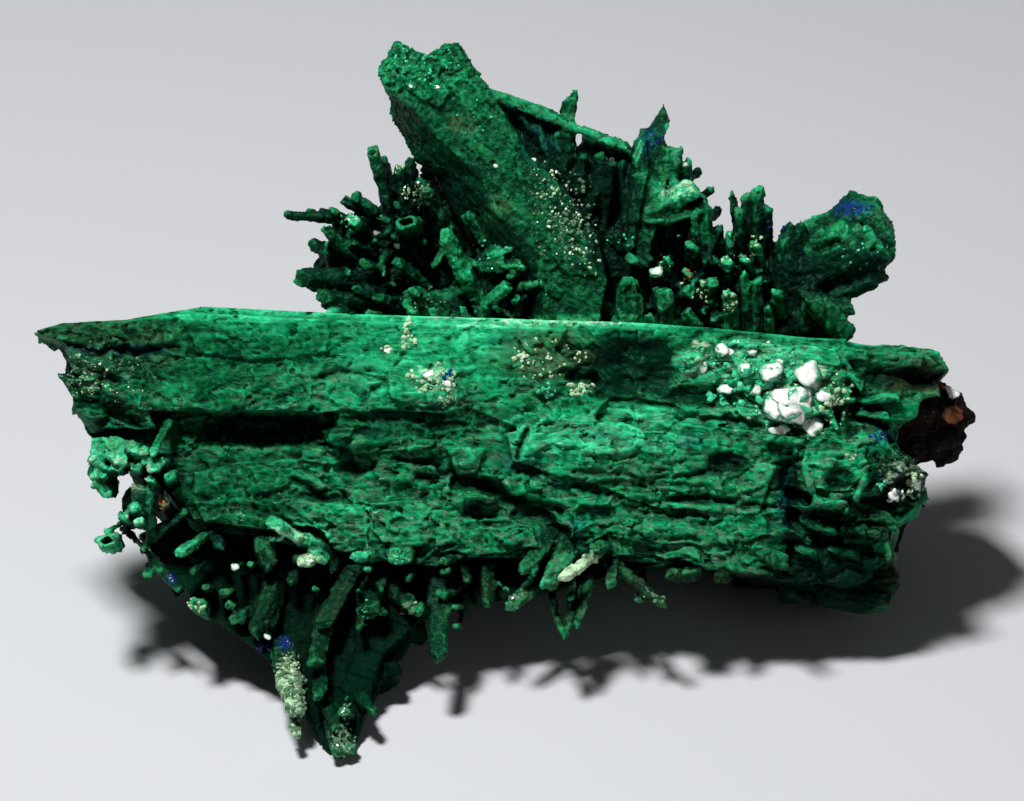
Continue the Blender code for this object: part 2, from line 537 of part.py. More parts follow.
def fill_rock(target, swell=0.0):
    """The host rock, or the larger space that it needs."""
    for centre, half_sizes in ROCK_LUMPS:
        add_lump(target, centre, half_sizes, detail=2, roughness=ROCK_ROUGHNESS, swell=swell)


def fill_rock_space(target):
    fill_rock(target, swell=ROCK_GAP)


def clear_scene():
    for obj in list(bpy.data.objects):
        bpy.data.objects.remove(obj)


def main():
    clear_scene()
    malachite = new_material("malachite", (0.02, 0.30, 0.13), 0.55)
    rock = new_material("brown_rock", (0.10, 0.055, 0.035), 0.85)
    ground = new_object("ground_cutter", mesh_of("ground_cutter", fill_ground))

    cluster = new_object("malachite_crystals", mesh_of("malachite_crystals", fill_slab), malachite)
    spray = new_object("crystal_spray", mesh_of("crystal_spray", fill_crystals))
    combine(cluster, spray, "UNION", "grown_together")
    combine(cluster, ground, "DIFFERENCE", "flat_break")

    rock_space = new_object("rock_space", mesh_of("rock_space", fill_rock_space))
    combine(cluster, rock_space, "DIFFERENCE", "rock_space")
    matrix_rock = new_object("matrix_rock", mesh_of("matrix_rock", fill_rock), rock)
    combine(matrix_rock, ground, "DIFFERENCE", "flat_break")
    for solid in (cluster, matrix_rock):
        keep_outer_skin(solid)


main()
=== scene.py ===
# %% [markdown]
# # A malachite specimen
# One long tabular crystal of malachite after azurite leans back against a spray of smaller
# crystals, and a lump of brown host rock sits at its right end. The solid model of it is loaded
# first. It gives the place and the size of everything, and stays as it is. Everything below is
# only for the looks.

# %% Load the solid model
import contextlib
import itertools
import math
import random

import bpy
import numpy as np
from mathutils import Matrix, Vector, bvhtree, noise


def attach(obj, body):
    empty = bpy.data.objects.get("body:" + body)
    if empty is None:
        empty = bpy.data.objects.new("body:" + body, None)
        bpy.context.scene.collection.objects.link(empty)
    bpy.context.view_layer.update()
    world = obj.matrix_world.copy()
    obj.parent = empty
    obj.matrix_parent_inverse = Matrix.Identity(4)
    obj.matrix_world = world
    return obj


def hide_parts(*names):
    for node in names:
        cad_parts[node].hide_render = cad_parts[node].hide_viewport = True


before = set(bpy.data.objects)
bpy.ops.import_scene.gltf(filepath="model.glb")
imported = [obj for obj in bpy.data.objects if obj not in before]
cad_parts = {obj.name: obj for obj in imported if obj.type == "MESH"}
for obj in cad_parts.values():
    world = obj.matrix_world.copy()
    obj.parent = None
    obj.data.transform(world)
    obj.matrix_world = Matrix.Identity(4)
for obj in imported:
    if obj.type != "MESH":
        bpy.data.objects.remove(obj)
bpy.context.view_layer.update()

# %% [markdown]
# ## Measuring on the crystal's face
# The long crystal's flat face leans back 28 degrees. It is easiest to measure everything on it, in
# millimetres: across to the right, up along the face, and back behind it. One matrix turns such a
# point into the world, and its inverse turns a world point back. The picture shows 7.8 pixels for
# each millimetre, and `seen` gives the place on the face of a thing seen at a pixel.

# %% The face's own millimetres
MM = 0.001
LEAN = math.radians(28.0)
REST_BACK = 40.9
PIXELS_A_MM = 7.8
LEAN_SIN, LEAN_COS = math.sin(LEAN), math.cos(LEAN)
FACE_TURN = np.array([[1, 0, 0], [0, LEAN_SIN, LEAN_COS], [0, LEAN_COS, -LEAN_SIN]])
FACE_SHIFT = np.array([0, -REST_BACK, 0])


def face_point(across, up, back):
    """The world point of one measured on the long crystal's face."""
    return Vector(FACE_TURN @ np.array([across, up, back]) + FACE_SHIFT) * MM


def face_places(world_mm):
    """The face's (across, up, back) for an array of world points in millimetres."""
    return (world_mm - FACE_SHIFT) @ FACE_TURN


def seen(x, y):
    """Where a pixel of the picture falls on the face."""
    return (x - 502) / PIXELS_A_MM, (758 - y) / PIXELS_A_MM


print("the face's lower left corner is at", face_point(-60, 25, 16))

# %% [markdown]
# ## The camera
# The camera looks straight at the long crystal's face from one metre away, as the photographer
# did. Its lens is chosen so that 7.8 pixels cover a millimetre on the face.

# %% Camera
CAMERA_DISTANCE = 1000.0
AIM = (*seen(512, 400.5), 16.0)

aim = face_point(*AIM)
spot = face_point(AIM[0], AIM[1], AIM[2] - CAMERA_DISTANCE)
bpy.ops.object.camera_add(location=spot, rotation=(aim - spot).to_track_quat("-Z", "Y").to_euler())
camera = bpy.context.object
camera.data.sensor_width = 36.0
camera.data.lens = 36.0 * CAMERA_DISTANCE / (1024 / PIXELS_A_MM)
camera.data.clip_end = 20.0
bpy.context.scene.camera = camera
print("lens:", round(camera.data.lens, 1), "mm")


def through(x, y, back):
    """The place at some depth behind the face of a thing seen at a pixel."""
    across, up = seen(x, y)
    spread = 1 + (back - AIM[2]) / CAMERA_DISTANCE
    return AIM[0] + (across - AIM[0]) * spread, AIM[1] + (up - AIM[1]) * spread, back


# %% [markdown]
# ## Small helpers for modelling
# Blender's operators work on what is selected, so each step starts by selecting one object alone.
# `fuse` is the most important one here. Real crystals in a cluster have grown into each other, and
# a voxel remesh does the same to their models: it wraps one skin of small squares round everything
# that overlaps.

# %% Select, join, fuse
CLEAN_MM = 0.002  # points of a cut closer than this are merged


def only(piece):
    """Selects one object alone, in object mode."""
    bpy.ops.object.select_all(action="DESELECT")
    piece.select_set(True)
    bpy.context.view_layer.objects.active = piece


@contextlib.contextmanager
def edit_mode():
    """Edit mode for the steps inside it."""
    bpy.ops.object.mode_set(mode="EDIT")
    yield
    bpy.ops.object.mode_set(mode="OBJECT")


def face_outward():
    """Turns all faces of the active object outward."""
    with edit_mode():
        bpy.ops.mesh.select_all(action="SELECT")
        bpy.ops.mesh.normals_make_consistent(inside=False)


def cut(through_point, way, **settings):
    """Cuts all of the active object in edit mode, and closes the cut with a flat face."""
    bpy.ops.mesh.select_all(action="SELECT")
    way = Vector(way).normalized()
    bpy.ops.mesh.bisect(plane_co=through_point, plane_no=way, use_fill=True, **settings)


def join_all(pieces, name):
    """Joins several objects into one, and names it."""
    only(pieces[0])
    for piece in pieces:
        piece.select_set(True)
    if len(pieces) > 1:
        bpy.ops.object.join()
    joined = bpy.context.object
    joined.name = joined.data.name = name
    return joined


def fuse(piece, square_mm):
    """Wraps one skin of small squares round all the closed shapes in a piece."""
    only(piece)
    step = piece.modifiers.new("grown together", "REMESH")
    step.mode = "VOXEL"
    step.voxel_size = square_mm * MM
    step.use_smooth_shade = True
    bpy.ops.object.modifier_apply(modifier=step.name)
    print(piece.name, "has", len(piece.data.polygons), "squares")


def thin_out(piece, hidden, ratio):
    """Merges small faces where a mask says that nobody looks closely."""
    only(piece)
    group = piece.vertex_groups.new(name="hidden")
    for weight in (0.0, 1.0):
        group.add(np.flatnonzero(hidden == weight).tolist(), weight, "REPLACE")
    step = piece.modifiers.new("fewer faces", "DECIMATE")
    step.ratio, step.vertex_group, step.vertex_group_factor = ratio, group.name, 10.0
    bpy.ops.object.modifier_apply(modifier=step.name)
    piece.vertex_groups.clear()
    piece.data.calc_loop_triangles()
    print(piece.name, "now has", len(piece.data.loop_triangles), "triangles")


def points_of(piece):
    """A piece's points and the directions that they face, as two arrays, in millimetres."""
    count = len(piece.data.vertices)
    places, directions = np.empty(3 * count), np.empty(3 * count)
    piece.data.vertices.foreach_get("co", places)
    piece.data.vertices.foreach_get("normal", directions)
    return places.reshape(-1, 3) / MM, directions.reshape(-1, 3)


def move_points(piece, places):
    """Gives a piece's points new places, in millimetres."""
    piece.data.vertices.foreach_set("co", (places * MM).ravel())
    piece.data.update()


def keep(piece, **values):
    """Stores named values at the points of a piece: a number at each, or a place at each."""
    for name, value in values.items():
        kind, field = ("FLOAT_VECTOR", "vector") if np.ndim(value) == 2 else ("FLOAT", "value")
        value = value if np.ndim(value) else np.full(len(piece.data.vertices), value)
        layer = piece.data.attributes.new(name, kind, "POINT")
        layer.data.foreach_set(field, value.astype(np.float32).ravel())


def rest_flat(piece):
    """Cuts off what lies below the ground, and closes the cut with a flat face."""
    only(piece)
    with edit_mode():
        cut((0, 0, 0), (0, 0, 1), clear_inner=True)
        bpy.ops.mesh.select_all(action="SELECT")
        bpy.ops.mesh.remove_doubles(threshold=CLEAN_MM * MM)
        bpy.ops.mesh.delete_loose()
    piece.data.validate()


# %% [markdown]
# ## Roughness in the mesh
# Malachite that has taken the place of azurite is crumbly. Its surface is made of small flat
# facets that tilt at random, and it steps up and down in thin layers. Two kinds of noise give
# that: smooth noise for slow changes, and facet noise, in which each small cell is a flat facet.
# Both are worked out for all points at once, so hundreds of thousands of points take a moment.

# %% Noise for many points at once
def random_at(cells, seed):
    """A steady random number from 0 to 1 for each cell of a grid."""
    mixed = (cells[:, 0] * 73856093) ^ (cells[:, 1] * 19349663) ^ (cells[:, 2] * 83492791)
    mixed = (mixed ^ (seed * 2654435)) & 0xFFFFFFFF
    mixed = ((mixed ^ (mixed >> 13)) * 1274126177) & 0xFFFFFFFF
    return ((mixed ^ (mixed >> 16)) & 0xFFFFFF) / float(0xFFFFFF)


def corner_shares(part):
    """The eight corners of a cell, and the share of each at a part of the way through the cell."""
    for corner in itertools.product((0, 1), repeat=3):
        yield np.array(corner), np.prod(np.where(corner, part, 1 - part), axis=1)


def soft_noise(points, seed=0):
    """Smooth noise from 0 to 1, with about one bump for each unit of length."""
    cells = np.floor(points).astype(np.int64)
    part = points - cells
    total = np.zeros(len(points))
    for corner, share in corner_shares(part * part * (3 - 2 * part)):
        total += share * random_at(cells + corner, seed)
    return total


def cells_around(points, seed):
    """The cells around each point, and how far the point is from a random spot in each."""
    cells = np.floor(points).astype(np.int64)
    for corner in itertools.product((-1, 0, 1), repeat=3):
        near = cells + np.array(corner)
        yield near, points - near - np.stack([random_at(near, seed + k) for k in range(3)], axis=1)


def facet_noise(points, seed=0):
    """Flat facets that tilt at random, one for each unit of length, from about -0.5 to 0.5."""
    nearest = np.full(len(points), np.inf)
    height = np.zeros(len(points))
    for near, offset in cells_around(points, seed):
        reach = (offset * offset).sum(axis=1)
        closer = reach < nearest
        nearest[closer] = reach[closer]
        tilt = np.stack([random_at(near[closer], seed + 3 + k) for k in range(3)], axis=1) - 0.5
        step = random_at(near[closer], seed + 6) - 0.5
        height[closer] = 1.3 * (offset[closer] * tilt).sum(axis=1) + 0.5 * step
    return height


def cell_pits(points, share, reach, seed=0):
    """Round pits in some of the cells: 1 in a pit's middle and 0 outside."""
    deepest = np.zeros(len(points))
    for near, offset in cells_around(points, seed):
        depth = ease(reach, 0.3 * reach, np.sqrt((offset * offset).sum(axis=1)))
        deepest = np.maximum(deepest, depth * (random_at(near, seed + 9) < share))
    return deepest


def ease(low, high, values):
    """Rises smoothly from 0 to 1 between two values."""
    share = np.clip((values - low) / (high - low), 0, 1)
    return share * share * (3 - 2 * share)


def crumble(piece, grains, share=1.0):
    """Pushes the points in and out by facets; grains lists the facets' size and depth."""
    places, directions = points_of(piece)
    height = np.zeros(len(places))
    for number, (size, depth) in enumerate(grains):
        height += depth * facet_noise(places / size, seed=31 * number + 5)
    places += directions * (height * share)[:, None]
    move_points(piece, places)


trial = np.random.default_rng(1).uniform(0, 9, (1000, 3))
print("facet noise runs from", facet_noise(trial).min().round(2), "to", facet_noise(trial).max().round(2))

# %% [markdown]
# ## Patches of colour
# The specimen isn't one green. Pale crusts, blue remains of azurite, brown stains and lighter or
# darker greens lie in patches. Some of the lighter and darker patches are painted light and shade:
# the lit top edge and glare are painted lighter, and recesses and the underside are painted darker.
# Each patch is an ellipse on the face, given by the pixel of its middle, its two half widths in
# pixels and its strength. They are stored in the mesh as named values at each point, which the
# finishes read later.

# %% Where the patches are
# Mostly pale crusts; the four bright spots at 771 to 812 pixels across are painted glare, and the strip
# along the top edge is a painted highlight.
PALE_PATCHES = [
    (434, 379, 26, 18, 0.55), (449, 401, 12, 9, 0.5), (402, 342, 16, 9, 0.35), (560, 322, 90, 5, 0.6),
    (466, 456, 22, 10, 0.3), (548, 402, 20, 10, 0.3), (580, 389, 18, 8, 0.5), (740, 356, 62, 24, 0.45),
    (771, 372, 16, 12, 0.9), (808, 378, 20, 16, 0.9), (786, 404, 30, 20, 0.9), (812, 425, 14, 11, 0.8),
    (800, 398, 60, 36, 0.4), (700, 345, 16, 10, 0.5), (765, 430, 45, 10, 0.35), (812, 470, 22, 14, 0.3),
    (903, 478, 28, 24, 0.6), (90, 375, 30, 26, 0.4), (240, 512, 60, 14, 0.3), (575, 235, 28, 40, 0.3),
    (545, 190, 22, 30, 0.3), (292, 690, 18, 40, 0.8), (297, 727, 12, 14, 0.8), (310, 560, 16, 10, 0.6),
    (958, 388, 8, 11, 1), (344, 738, 16, 22, 0.5), (958, 387, 9, 9, 0.8), (417, 195, 18, 16, 0.4),
    (112, 460, 26, 20, 0.25), (730, 302, 12, 16, 0.5), (656, 273, 10, 10, 0.8), (400, 560, 20, 14, 0.3),
    (620, 588, 190, 30, 0.15), (230, 540, 80, 24, 0.15), (600, 500, 210, 66, 0.22),
    (320, 515, 170, 50, 0.22), (100, 375, 60, 36, 0.25), (340, 742, 20, 20, 0.3), (800, 385, 70, 40, 0.25),
]
BLUE_PATCHES = [
    (883, 436, 12, 8, 0.7), (778, 229, 8, 6, 0.7), (858, 206, 20, 8, 1), (265, 647, 9, 6, 0.7),
    (286, 642, 8, 7, 0.7), (172, 579, 6, 5, 0.6), (902, 478, 8, 12, 0.4), (925, 460, 10, 8, 0.5),
    (648, 135, 10, 16, 0.35), (110, 350, 50, 4, 0.4), (75, 436, 10, 14, 0.5), (690, 440, 12, 7, 0.3),
    (575, 525, 12, 9, 0.3), (785, 500, 7, 36, 0.4), (230, 545, 12, 6, 0.4), (447, 374, 9, 6, 0.5),
    (178, 522, 16, 7, 0.4), (540, 135, 20, 22, 0.25), (520, 462, 18, 8, 0.3),
]
BROWN_PATCHES = [
    (120, 345, 60, 24, 0.3), (70, 338, 36, 20, 0.25), (545, 352, 46, 28, 0.55), (500, 210, 12, 16, 0.35),
    (462, 122, 14, 10, 0.5), (925, 380, 36, 20, 0.6), (892, 575, 8, 30, 0.7), (163, 504, 8, 10, 1),
    (885, 520, 14, 24, 0.3), (470, 405, 24, 10, 0.25), (350, 375, 50, 12, 0.2), (620, 470, 36, 12, 0.2),
    (690, 545, 36, 10, 0.25), (585, 612, 12, 14, 0.4), (956, 415, 12, 10, 0.9), (690, 274, 10, 8, 0.5),
    (300, 600, 110, 60, 0.15), (620, 590, 190, 36, 0.25), (640, 600, 26, 12, 0.35), (270, 560, 40, 12, 0.2),
    (330, 225, 24, 10, 0.2), (905, 372, 20, 8, 0.6),
]
# Tone, and painted light and shade: the lit strip along the top edge is painted lighter, and recesses, the
# underside and the shade under ledges and crystals are painted darker.
LIGHT_PATCHES = [  # lighter greens above 0, darker ones below
    (100, 350, 78, 48, -0.38), (70, 425, 62, 42, -0.3), (430, 362, 100, 40, 0.36),
    (240, 362, 92, 50, -0.22), (235, 490, 70, 38, -0.34), (728, 462, 24, 11, -0.9),
    (258, 432, 84, 18, -0.6), (835, 478, 38, 28, 0.35), (655, 140, 12, 28, -0.5), (676, 190, 22, 14, 0.6),
    (806, 277, 26, 22, -1.2), (612, 240, 22, 34, -0.8), (545, 362, 50, 36, -0.15),
    (632, 366, 50, 34, -0.75), (708, 396, 46, 13, -0.7), (770, 382, 76, 44, 0.5), (600, 432, 120, 26, 0.45),
    (690, 414, 75, 10, 0.25), (688, 364, 20, 14, 1), (415, 424, 90, 16, -0.45), (465, 456, 26, 12, 0.25),
    (820, 470, 44, 28, 0.05), (840, 584, 66, 34, -1.2), (780, 600, 120, 16, -0.6), (835, 525, 60, 18, -0.6),
    (788, 484, 14, 34, -0.6), (898, 478, 34, 28, -0.9), (838, 478, 18, 12, -0.7), (905, 380, 44, 12, -0.9),
    (925, 376, 26, 14, -0.5), (862, 264, 40, 16, -0.6), (420, 520, 95, 24, 0.08), (120, 460, 42, 34, 0.8),
    (142, 505, 20, 30, 0.7), (107, 541, 16, 16, 0.8), (185, 545, 18, 12, 0.6), (294, 538, 34, 22, 0.7),
    (312, 560, 20, 10, 0.7), (364, 557, 22, 10, 0.7), (400, 557, 20, 12, 0.5), (580, 566, 26, 16, 0.9),
    (545, 568, 22, 18, 0.4), (720, 586, 90, 14, -1.2), (605, 196, 34, 38, -1), (540, 150, 22, 40, -0.2),
    (290, 690, 20, 44, -0.2), (420, 66, 40, 32, 0.22), (410, 150, 22, 46, -0.35), (452, 205, 26, 44, -0.3),
    (505, 262, 26, 40, -0.25), (560, 290, 60, 30, -0.3), (350, 232, 80, 62, -0.2), (600, 205, 52, 62, -0.3),
    (560, 321, 175, 8, 0.66), (300, 314, 165, 8, 0.42), (860, 348, 60, 6, 0.25), (862, 410, 36, 20, -0.1),
    (285, 542, 40, 16, 0.2), (830, 250, 90, 60, -0.12), (300, 580, 210, 40, -0.2),
    (320, 680, 110, 80, -0.2), (885, 360, 50, 14, -0.1), (600, 335, 100, 8, 0.2),
]
ROUGH_PATCHES = [
    (100, 350, 75, 55, 0.6), (545, 362, 50, 36, 0.4), (770, 388, 80, 50, 0.5), (440, 392, 40, 22, 0.3),
    (300, 392, 70, 20, 0.3), (905, 480, 40, 30, 0.6), (648, 366, 50, 36, 0.4), (900, 370, 50, 30, 0.4),
    (238, 492, 80, 40, -0.45), (520, 450, 90, 26, -0.25), (400, 425, 80, 16, -0.35),
]


def reach_of(face, x, y, half_wide, half_high):
    """How far out each point lies in an ellipse: 0 in its middle, 1 on its rim."""
    across, up = seen(x, y)
    return np.hypot(
        (face[:, 0] - across) * PIXELS_A_MM / half_wide, (face[:, 1] - up) * PIXELS_A_MM / half_high
    )


def patch_strength(face, patches):
    """How strongly each point lies inside a list of patches, from 0 to 1."""
    strength = np.zeros(len(face))
    for *ellipse, most in patches:
        strength = np.maximum(strength, most * ease(1.5, 0.5, reach_of(face, *ellipse)))
    return strength * ease(40.0, 33.0, face[:, 2])


def patch_sum(face, patches):
    """The patches' strengths added up, for patches that may lighten or darken."""
    total = sum(most * ease(1.3, 0.65, reach_of(face, *ellipse)) for *ellipse, most in patches)
    return total * ease(40.0, 33.0, face[:, 2])


print(len(PALE_PATCHES + BLUE_PATCHES + BROWN_PATCHES + LIGHT_PATCHES), "patches")

# %% [markdown]
# ## A plate, the form of the big crystals
# The long crystal and the leaning one are tabular: a flat face, an outline and a thickness. Each
# plate starts as a filled ring, as many-sided as its outline. The ring is pulled back into a
# solid in edit mode, and its points are then set on the outline at the front and at the back.

# %% Make a plate
def add_plate(outline, front, back, behind=None, slope=0.0, slant=0.0, taper=0.35):
    """A closed plate between an outline at the front and one at the back."""
    bpy.ops.mesh.primitive_circle_add(vertices=len(outline), radius=1.0, fill_type="NGON")
    plate = bpy.context.object
    with edit_mode():
        bpy.ops.mesh.extrude_region_move(TRANSFORM_OT_translate={"value": (0, 0, 1)})
    middle = Vector((sum(p[0] for p in outline), sum(p[1] for p in outline))) / len(outline)
    for vert in plate.data.vertices:
        turn = math.atan2(-vert.co.x, vert.co.y) % (2 * math.pi)
        number = round(turn / (2 * math.pi) * len(outline)) % len(outline)
        if vert.co.z < 0.5:
            inward = (middle - Vector(outline[number])).normalized() * taper
            across, up = Vector(outline[number]) + inward
            vert.co = face_point(across, up, front + slope * up)
        else:
            across, up = (behind or outline)[number]
            vert.co = face_point(across, up - slant * (back - front), back + slope * up)
    face_outward()
    return plate


# %% [markdown]
# ## One small crystal, and copies of it
# The small crystals are flattened prisms with bevelled corners and four kinds of end: blunt,
# chisel, pointed, and hollow where the core has dissolved. One master of each kind is modelled at
# unit width. A copy gets its own mesh, is drawn out to its length, and is set from its foot to its
# tip. Real ones grow in parallel bundles, so each crystal also gets narrower ribs along its sides.

# %% Masters of the small crystal
END_CUTS = {  # how far below the tip each cut passes, as a share of the width, and the way it faces
    "blunt": [(0.22, (0.35, 0.15, 1.0))],
    "hollow": [(0.2, (0.25, 0.12, 1.0))],
    "chisel": [(0.15, (0.85, 0.15, 0.75)), (0.15, (-0.85, 0.1, 0.9))],
    "point": [(0.1, (0.9, 0.1, 0.45)), (0.1, (-0.9, 0.2, 0.5)), (0.1, (0.1, -0.8, 0.6))],
}
MASTER_LENGTH = 3.0
FLATNESS = 0.60
CORNER = 0.13
NARROWING = 0.86  # width at the tip as a share of the width at the foot
HOLLOW_RIM, HOLLOW_DEPTH = 0.16, 0.6


def select_top_face(mesh):
    """Selects the face that looks up the most, among the highest ones."""
    for polygon in mesh.polygons:
        polygon.select = False
    top = max(mesh.polygons, key=lambda face: face.center.z + face.normal.z)
    top.select = True


def select_upright_edges(mesh):
    """Selects the edges that run along the crystal."""
    for edge in mesh.edges:
        low, high = (mesh.vertices[number].co for number in edge.vertices)
        edge.select = abs(high.z - low.z) > MASTER_LENGTH / 2


def add_master(end):
    """A crystal one unit wide that stands on the origin."""
    bpy.ops.mesh.primitive_cube_add(size=1.0, location=(0, 0, MASTER_LENGTH / 2))
    master = bpy.context.object
    master.scale = (0.94, FLATNESS, MASTER_LENGTH)
    bpy.ops.object.transform_apply(location=True, rotation=True, scale=True)
    bpy.context.tool_settings.mesh_select_mode = (False, True, False)
    for vert in master.data.vertices:
        vert.select = False
    select_upright_edges(master.data)
    with edit_mode():
        bpy.ops.mesh.bevel(offset=CORNER, segments=1)
        for below, way in END_CUTS[end]:
            cut((0, 0, MASTER_LENGTH - below), way, clear_outer=True)
    if end == "hollow":
        bpy.context.tool_settings.mesh_select_mode = (False, False, True)
        select_top_face(master.data)
        with edit_mode():
            bpy.ops.mesh.inset(thickness=HOLLOW_RIM, depth=0)
            bpy.ops.mesh.extrude_region_move(TRANSFORM_OT_translate={"value": (0, 0, -HOLLOW_DEPTH)})
    bpy.context.tool_settings.mesh_select_mode = (True, False, False)
    master.name = master.data.name = "master_" + end
    return master


masters = {end: add_master(end) for end in END_CUTS}
print("masters:", {end: len(master.data.polygons) for end, master in masters.items()})


# %% Set a copy in place, and ribs beside it
def set_crystal(crystal, beside=(0, 0), thinner=1.0, shorter=1.0):
    """A copy of a master from the crystal's foot to its tip, or a rib beside it."""
    foot, tip, width, end, tone, roll = crystal
    start, finish = face_point(*foot), face_point(*tip)
    length, width = (finish - start).length * shorter, width * MM
    piece = masters[end].copy()
    piece.data = masters[end].data.copy()
    bpy.context.collection.objects.link(piece)
    for vert in piece.data.vertices:
        if vert.co.z > MASTER_LENGTH / 2:
            vert.co.x, vert.co.y = NARROWING * vert.co.x, NARROWING * vert.co.y
            vert.co.z += length / (width * thinner) - MASTER_LENGTH
    way = (finish - start).normalized().to_track_quat("Z", "Y").to_matrix().to_4x4()
    turned = Matrix.Translation(start) @ way @ Matrix.Rotation(roll, 4, "Z")
    aside = Matrix.Translation((beside[0] * width, beside[1] * width, 0))
    width *= thinner
    piece.data.transform(turned @ aside @ Matrix.Diagonal((width, width, width, 1)))
    return piece


def with_ribs(crystal, draw):
    """A crystal and the narrower ones that have grown along it."""
    pieces = [set_crystal(crystal)]
    for number in range(0 if crystal[2] < 1.6 else 1 if crystal[2] < 2.8 else 3):
        turn = draw.uniform(0, 1.6) + 2.1 * number
        beside = (0.34 * math.cos(turn), 0.24 * math.sin(turn))
        rib = (*crystal[:3], "blunt" if crystal[3] == "hollow" else crystal[3], *crystal[4:])
        pieces.append(set_crystal(rib, beside, draw.uniform(0.45, 0.8), draw.uniform(0.55, 1.02)))
    return pieces


# %% [markdown]
# ## The long crystal
# It is a stack of plates. The body comes first, and each ledge stands proud of it with an outline
# of its own. Thinner steps are added here, which the solid model leaves out. All are then fused.

# %% Outlines of the long crystal
BODY = [
    (-55.4, 53.6), (-47, 56.3), (17.7, 54.4), (43.5, 52.4), (50.6, 49), (49.4, 45.6), (49.8, 42.2),
    (51.6, 39.2), (54.6, 37), (54.4, 33.6), (51.8, 30.6), (37, 22.5), (25.4, 25.3), (12.6, 26.9),
    (-6.7, 24.6), (-15.6, 25.2), (-28.5, 28), (-40, 30), (-44.8, 36), (-53, 41.5), (-55.2, 46),
    (-55.8, 49.6),
]
LEDGES = {
    "upper band": (12.8, 24, [
        (-57, 53.6), (-50, 56.1), (-40, 57.2), (-20.1, 56.4), (8.8, 55.2), (6.9, 52.5), (9.4, 50.2),
        (7.6, 48.2), (10.2, 45.8), (-9.2, 44), (-22, 44.5), (-45, 44.7), (-51.8, 45.6), (-54.9, 49.6),
    ]),
    "top lip": (13.6, 26.4, [
        (-47.5, 56.4), (-38.6, 57.9), (-20, 57), (17.8, 55.8), (26, 55.2), (24, 53.6), (-40, 55.4),
    ]),
    "right lip": (14, 26.4, [
        (16, 55.9), (26, 55.3), (34, 54.5), (44.5, 53.7), (44, 52), (30, 53), (16, 54.2),
    ]),
    "left point": (12.9, 19.5, [
        (-60, 54.8), (-56.6, 55.8), (-50, 56.4), (-40, 56.6), (-38, 54), (-46, 52.8), (-55.9, 52.5),
    ]),
    "left shelf": (13.5, 21, [
        (-55.6, 49.3), (-45.5, 49.9), (-44, 42.3), (-52.2, 41.6), (-54.8, 44.6),
    ]),
    "recess floor": (13.8, 22, [
        (4, 54.6), (26.5, 53.4), (30, 44.2), (14, 43.6), (5.6, 45),
    ]),
    "middle band": (13.2, 23, [
        (-8.2, 46.4), (11.3, 46.9), (14, 45.2), (25, 43.2), (37.2, 41.2), (36.4, 33), (35.2, 25.6),
        (25, 26.1), (12.5, 28.2), (7, 30.4), (-4.3, 36.2), (-9.4, 39.6),
    ]),
    "middle step": (12.1, 20, [
        (9.6, 43.7), (24.6, 41.7), (35.4, 37.5), (33, 31.2), (18.5, 31.9), (3.4, 38.4),
    ]),
    "shadow step": (13.7, 22, [
        (-24.4, 42.6), (-13, 42.4), (2.3, 41.4), (4, 37.4), (-9, 36.6), (-20.8, 38.2),
    ]),
    "lower panel": (13.4, 22.5, [
        (-42.8, 35.4), (-33.6, 38.2), (-26, 37.1), (-21.6, 34.6), (-6.4, 36.2), (0, 33.4), (4.6, 28.6),
        (-6.5, 25.2), (-15.6, 25.9), (-27.9, 28.6), (-39.2, 30.8),
    ]),
    "lower lip": (12.5, 20, [
        (-27.6, 32.4), (-12, 30.6), (-3.2, 31.3), (1.2, 27.4), (-7.2, 24.4), (-21.4, 26.6),
    ]),
    "lower step": (14.7, 22, [
        (0.4, 30.6), (9.6, 29), (24.6, 26.8), (34.6, 27), (31.6, 24), (12.8, 25.7), (1, 27.2),
    ]),
    "sparkling zone": (13.4, 22, [
        (25.9, 54), (35, 53.6), (43.2, 52.5), (45.2, 49.6), (44, 44.4), (39, 40.4), (31, 42.5),
        (27.7, 44.7), (28.9, 47), (26.5, 50),
    ]),
    "right bar": (17.2, 27.6, [
        (42.6, 53.6), (56.6, 52.3), (57.8, 50.2), (56, 47.9), (50.6, 46.8), (43.6, 45.6),
    ]),
    "right knob": (12.6, 24, [
        (36.4, 41.5), (44.7, 43), (49, 41.3), (52, 37), (48.4, 33.4), (42.2, 32.7), (35.7, 34.8),
    ]),
    "right foot": (18.6, 26.3, [
        (34.6, 31.3), (51.3, 31.9), (50.2, 19.4), (47.2, 18.9), (35.8, 20.6),
    ]),
}
TOP_SLANT = 0.10
STEP_THICKNESS = 6.0
FACE_SQUARE_MM = 0.29
VIEW_DEPTH, KEPT_SHARE = 19.5, 0.52  # behind this depth, faces are merged until this share is left

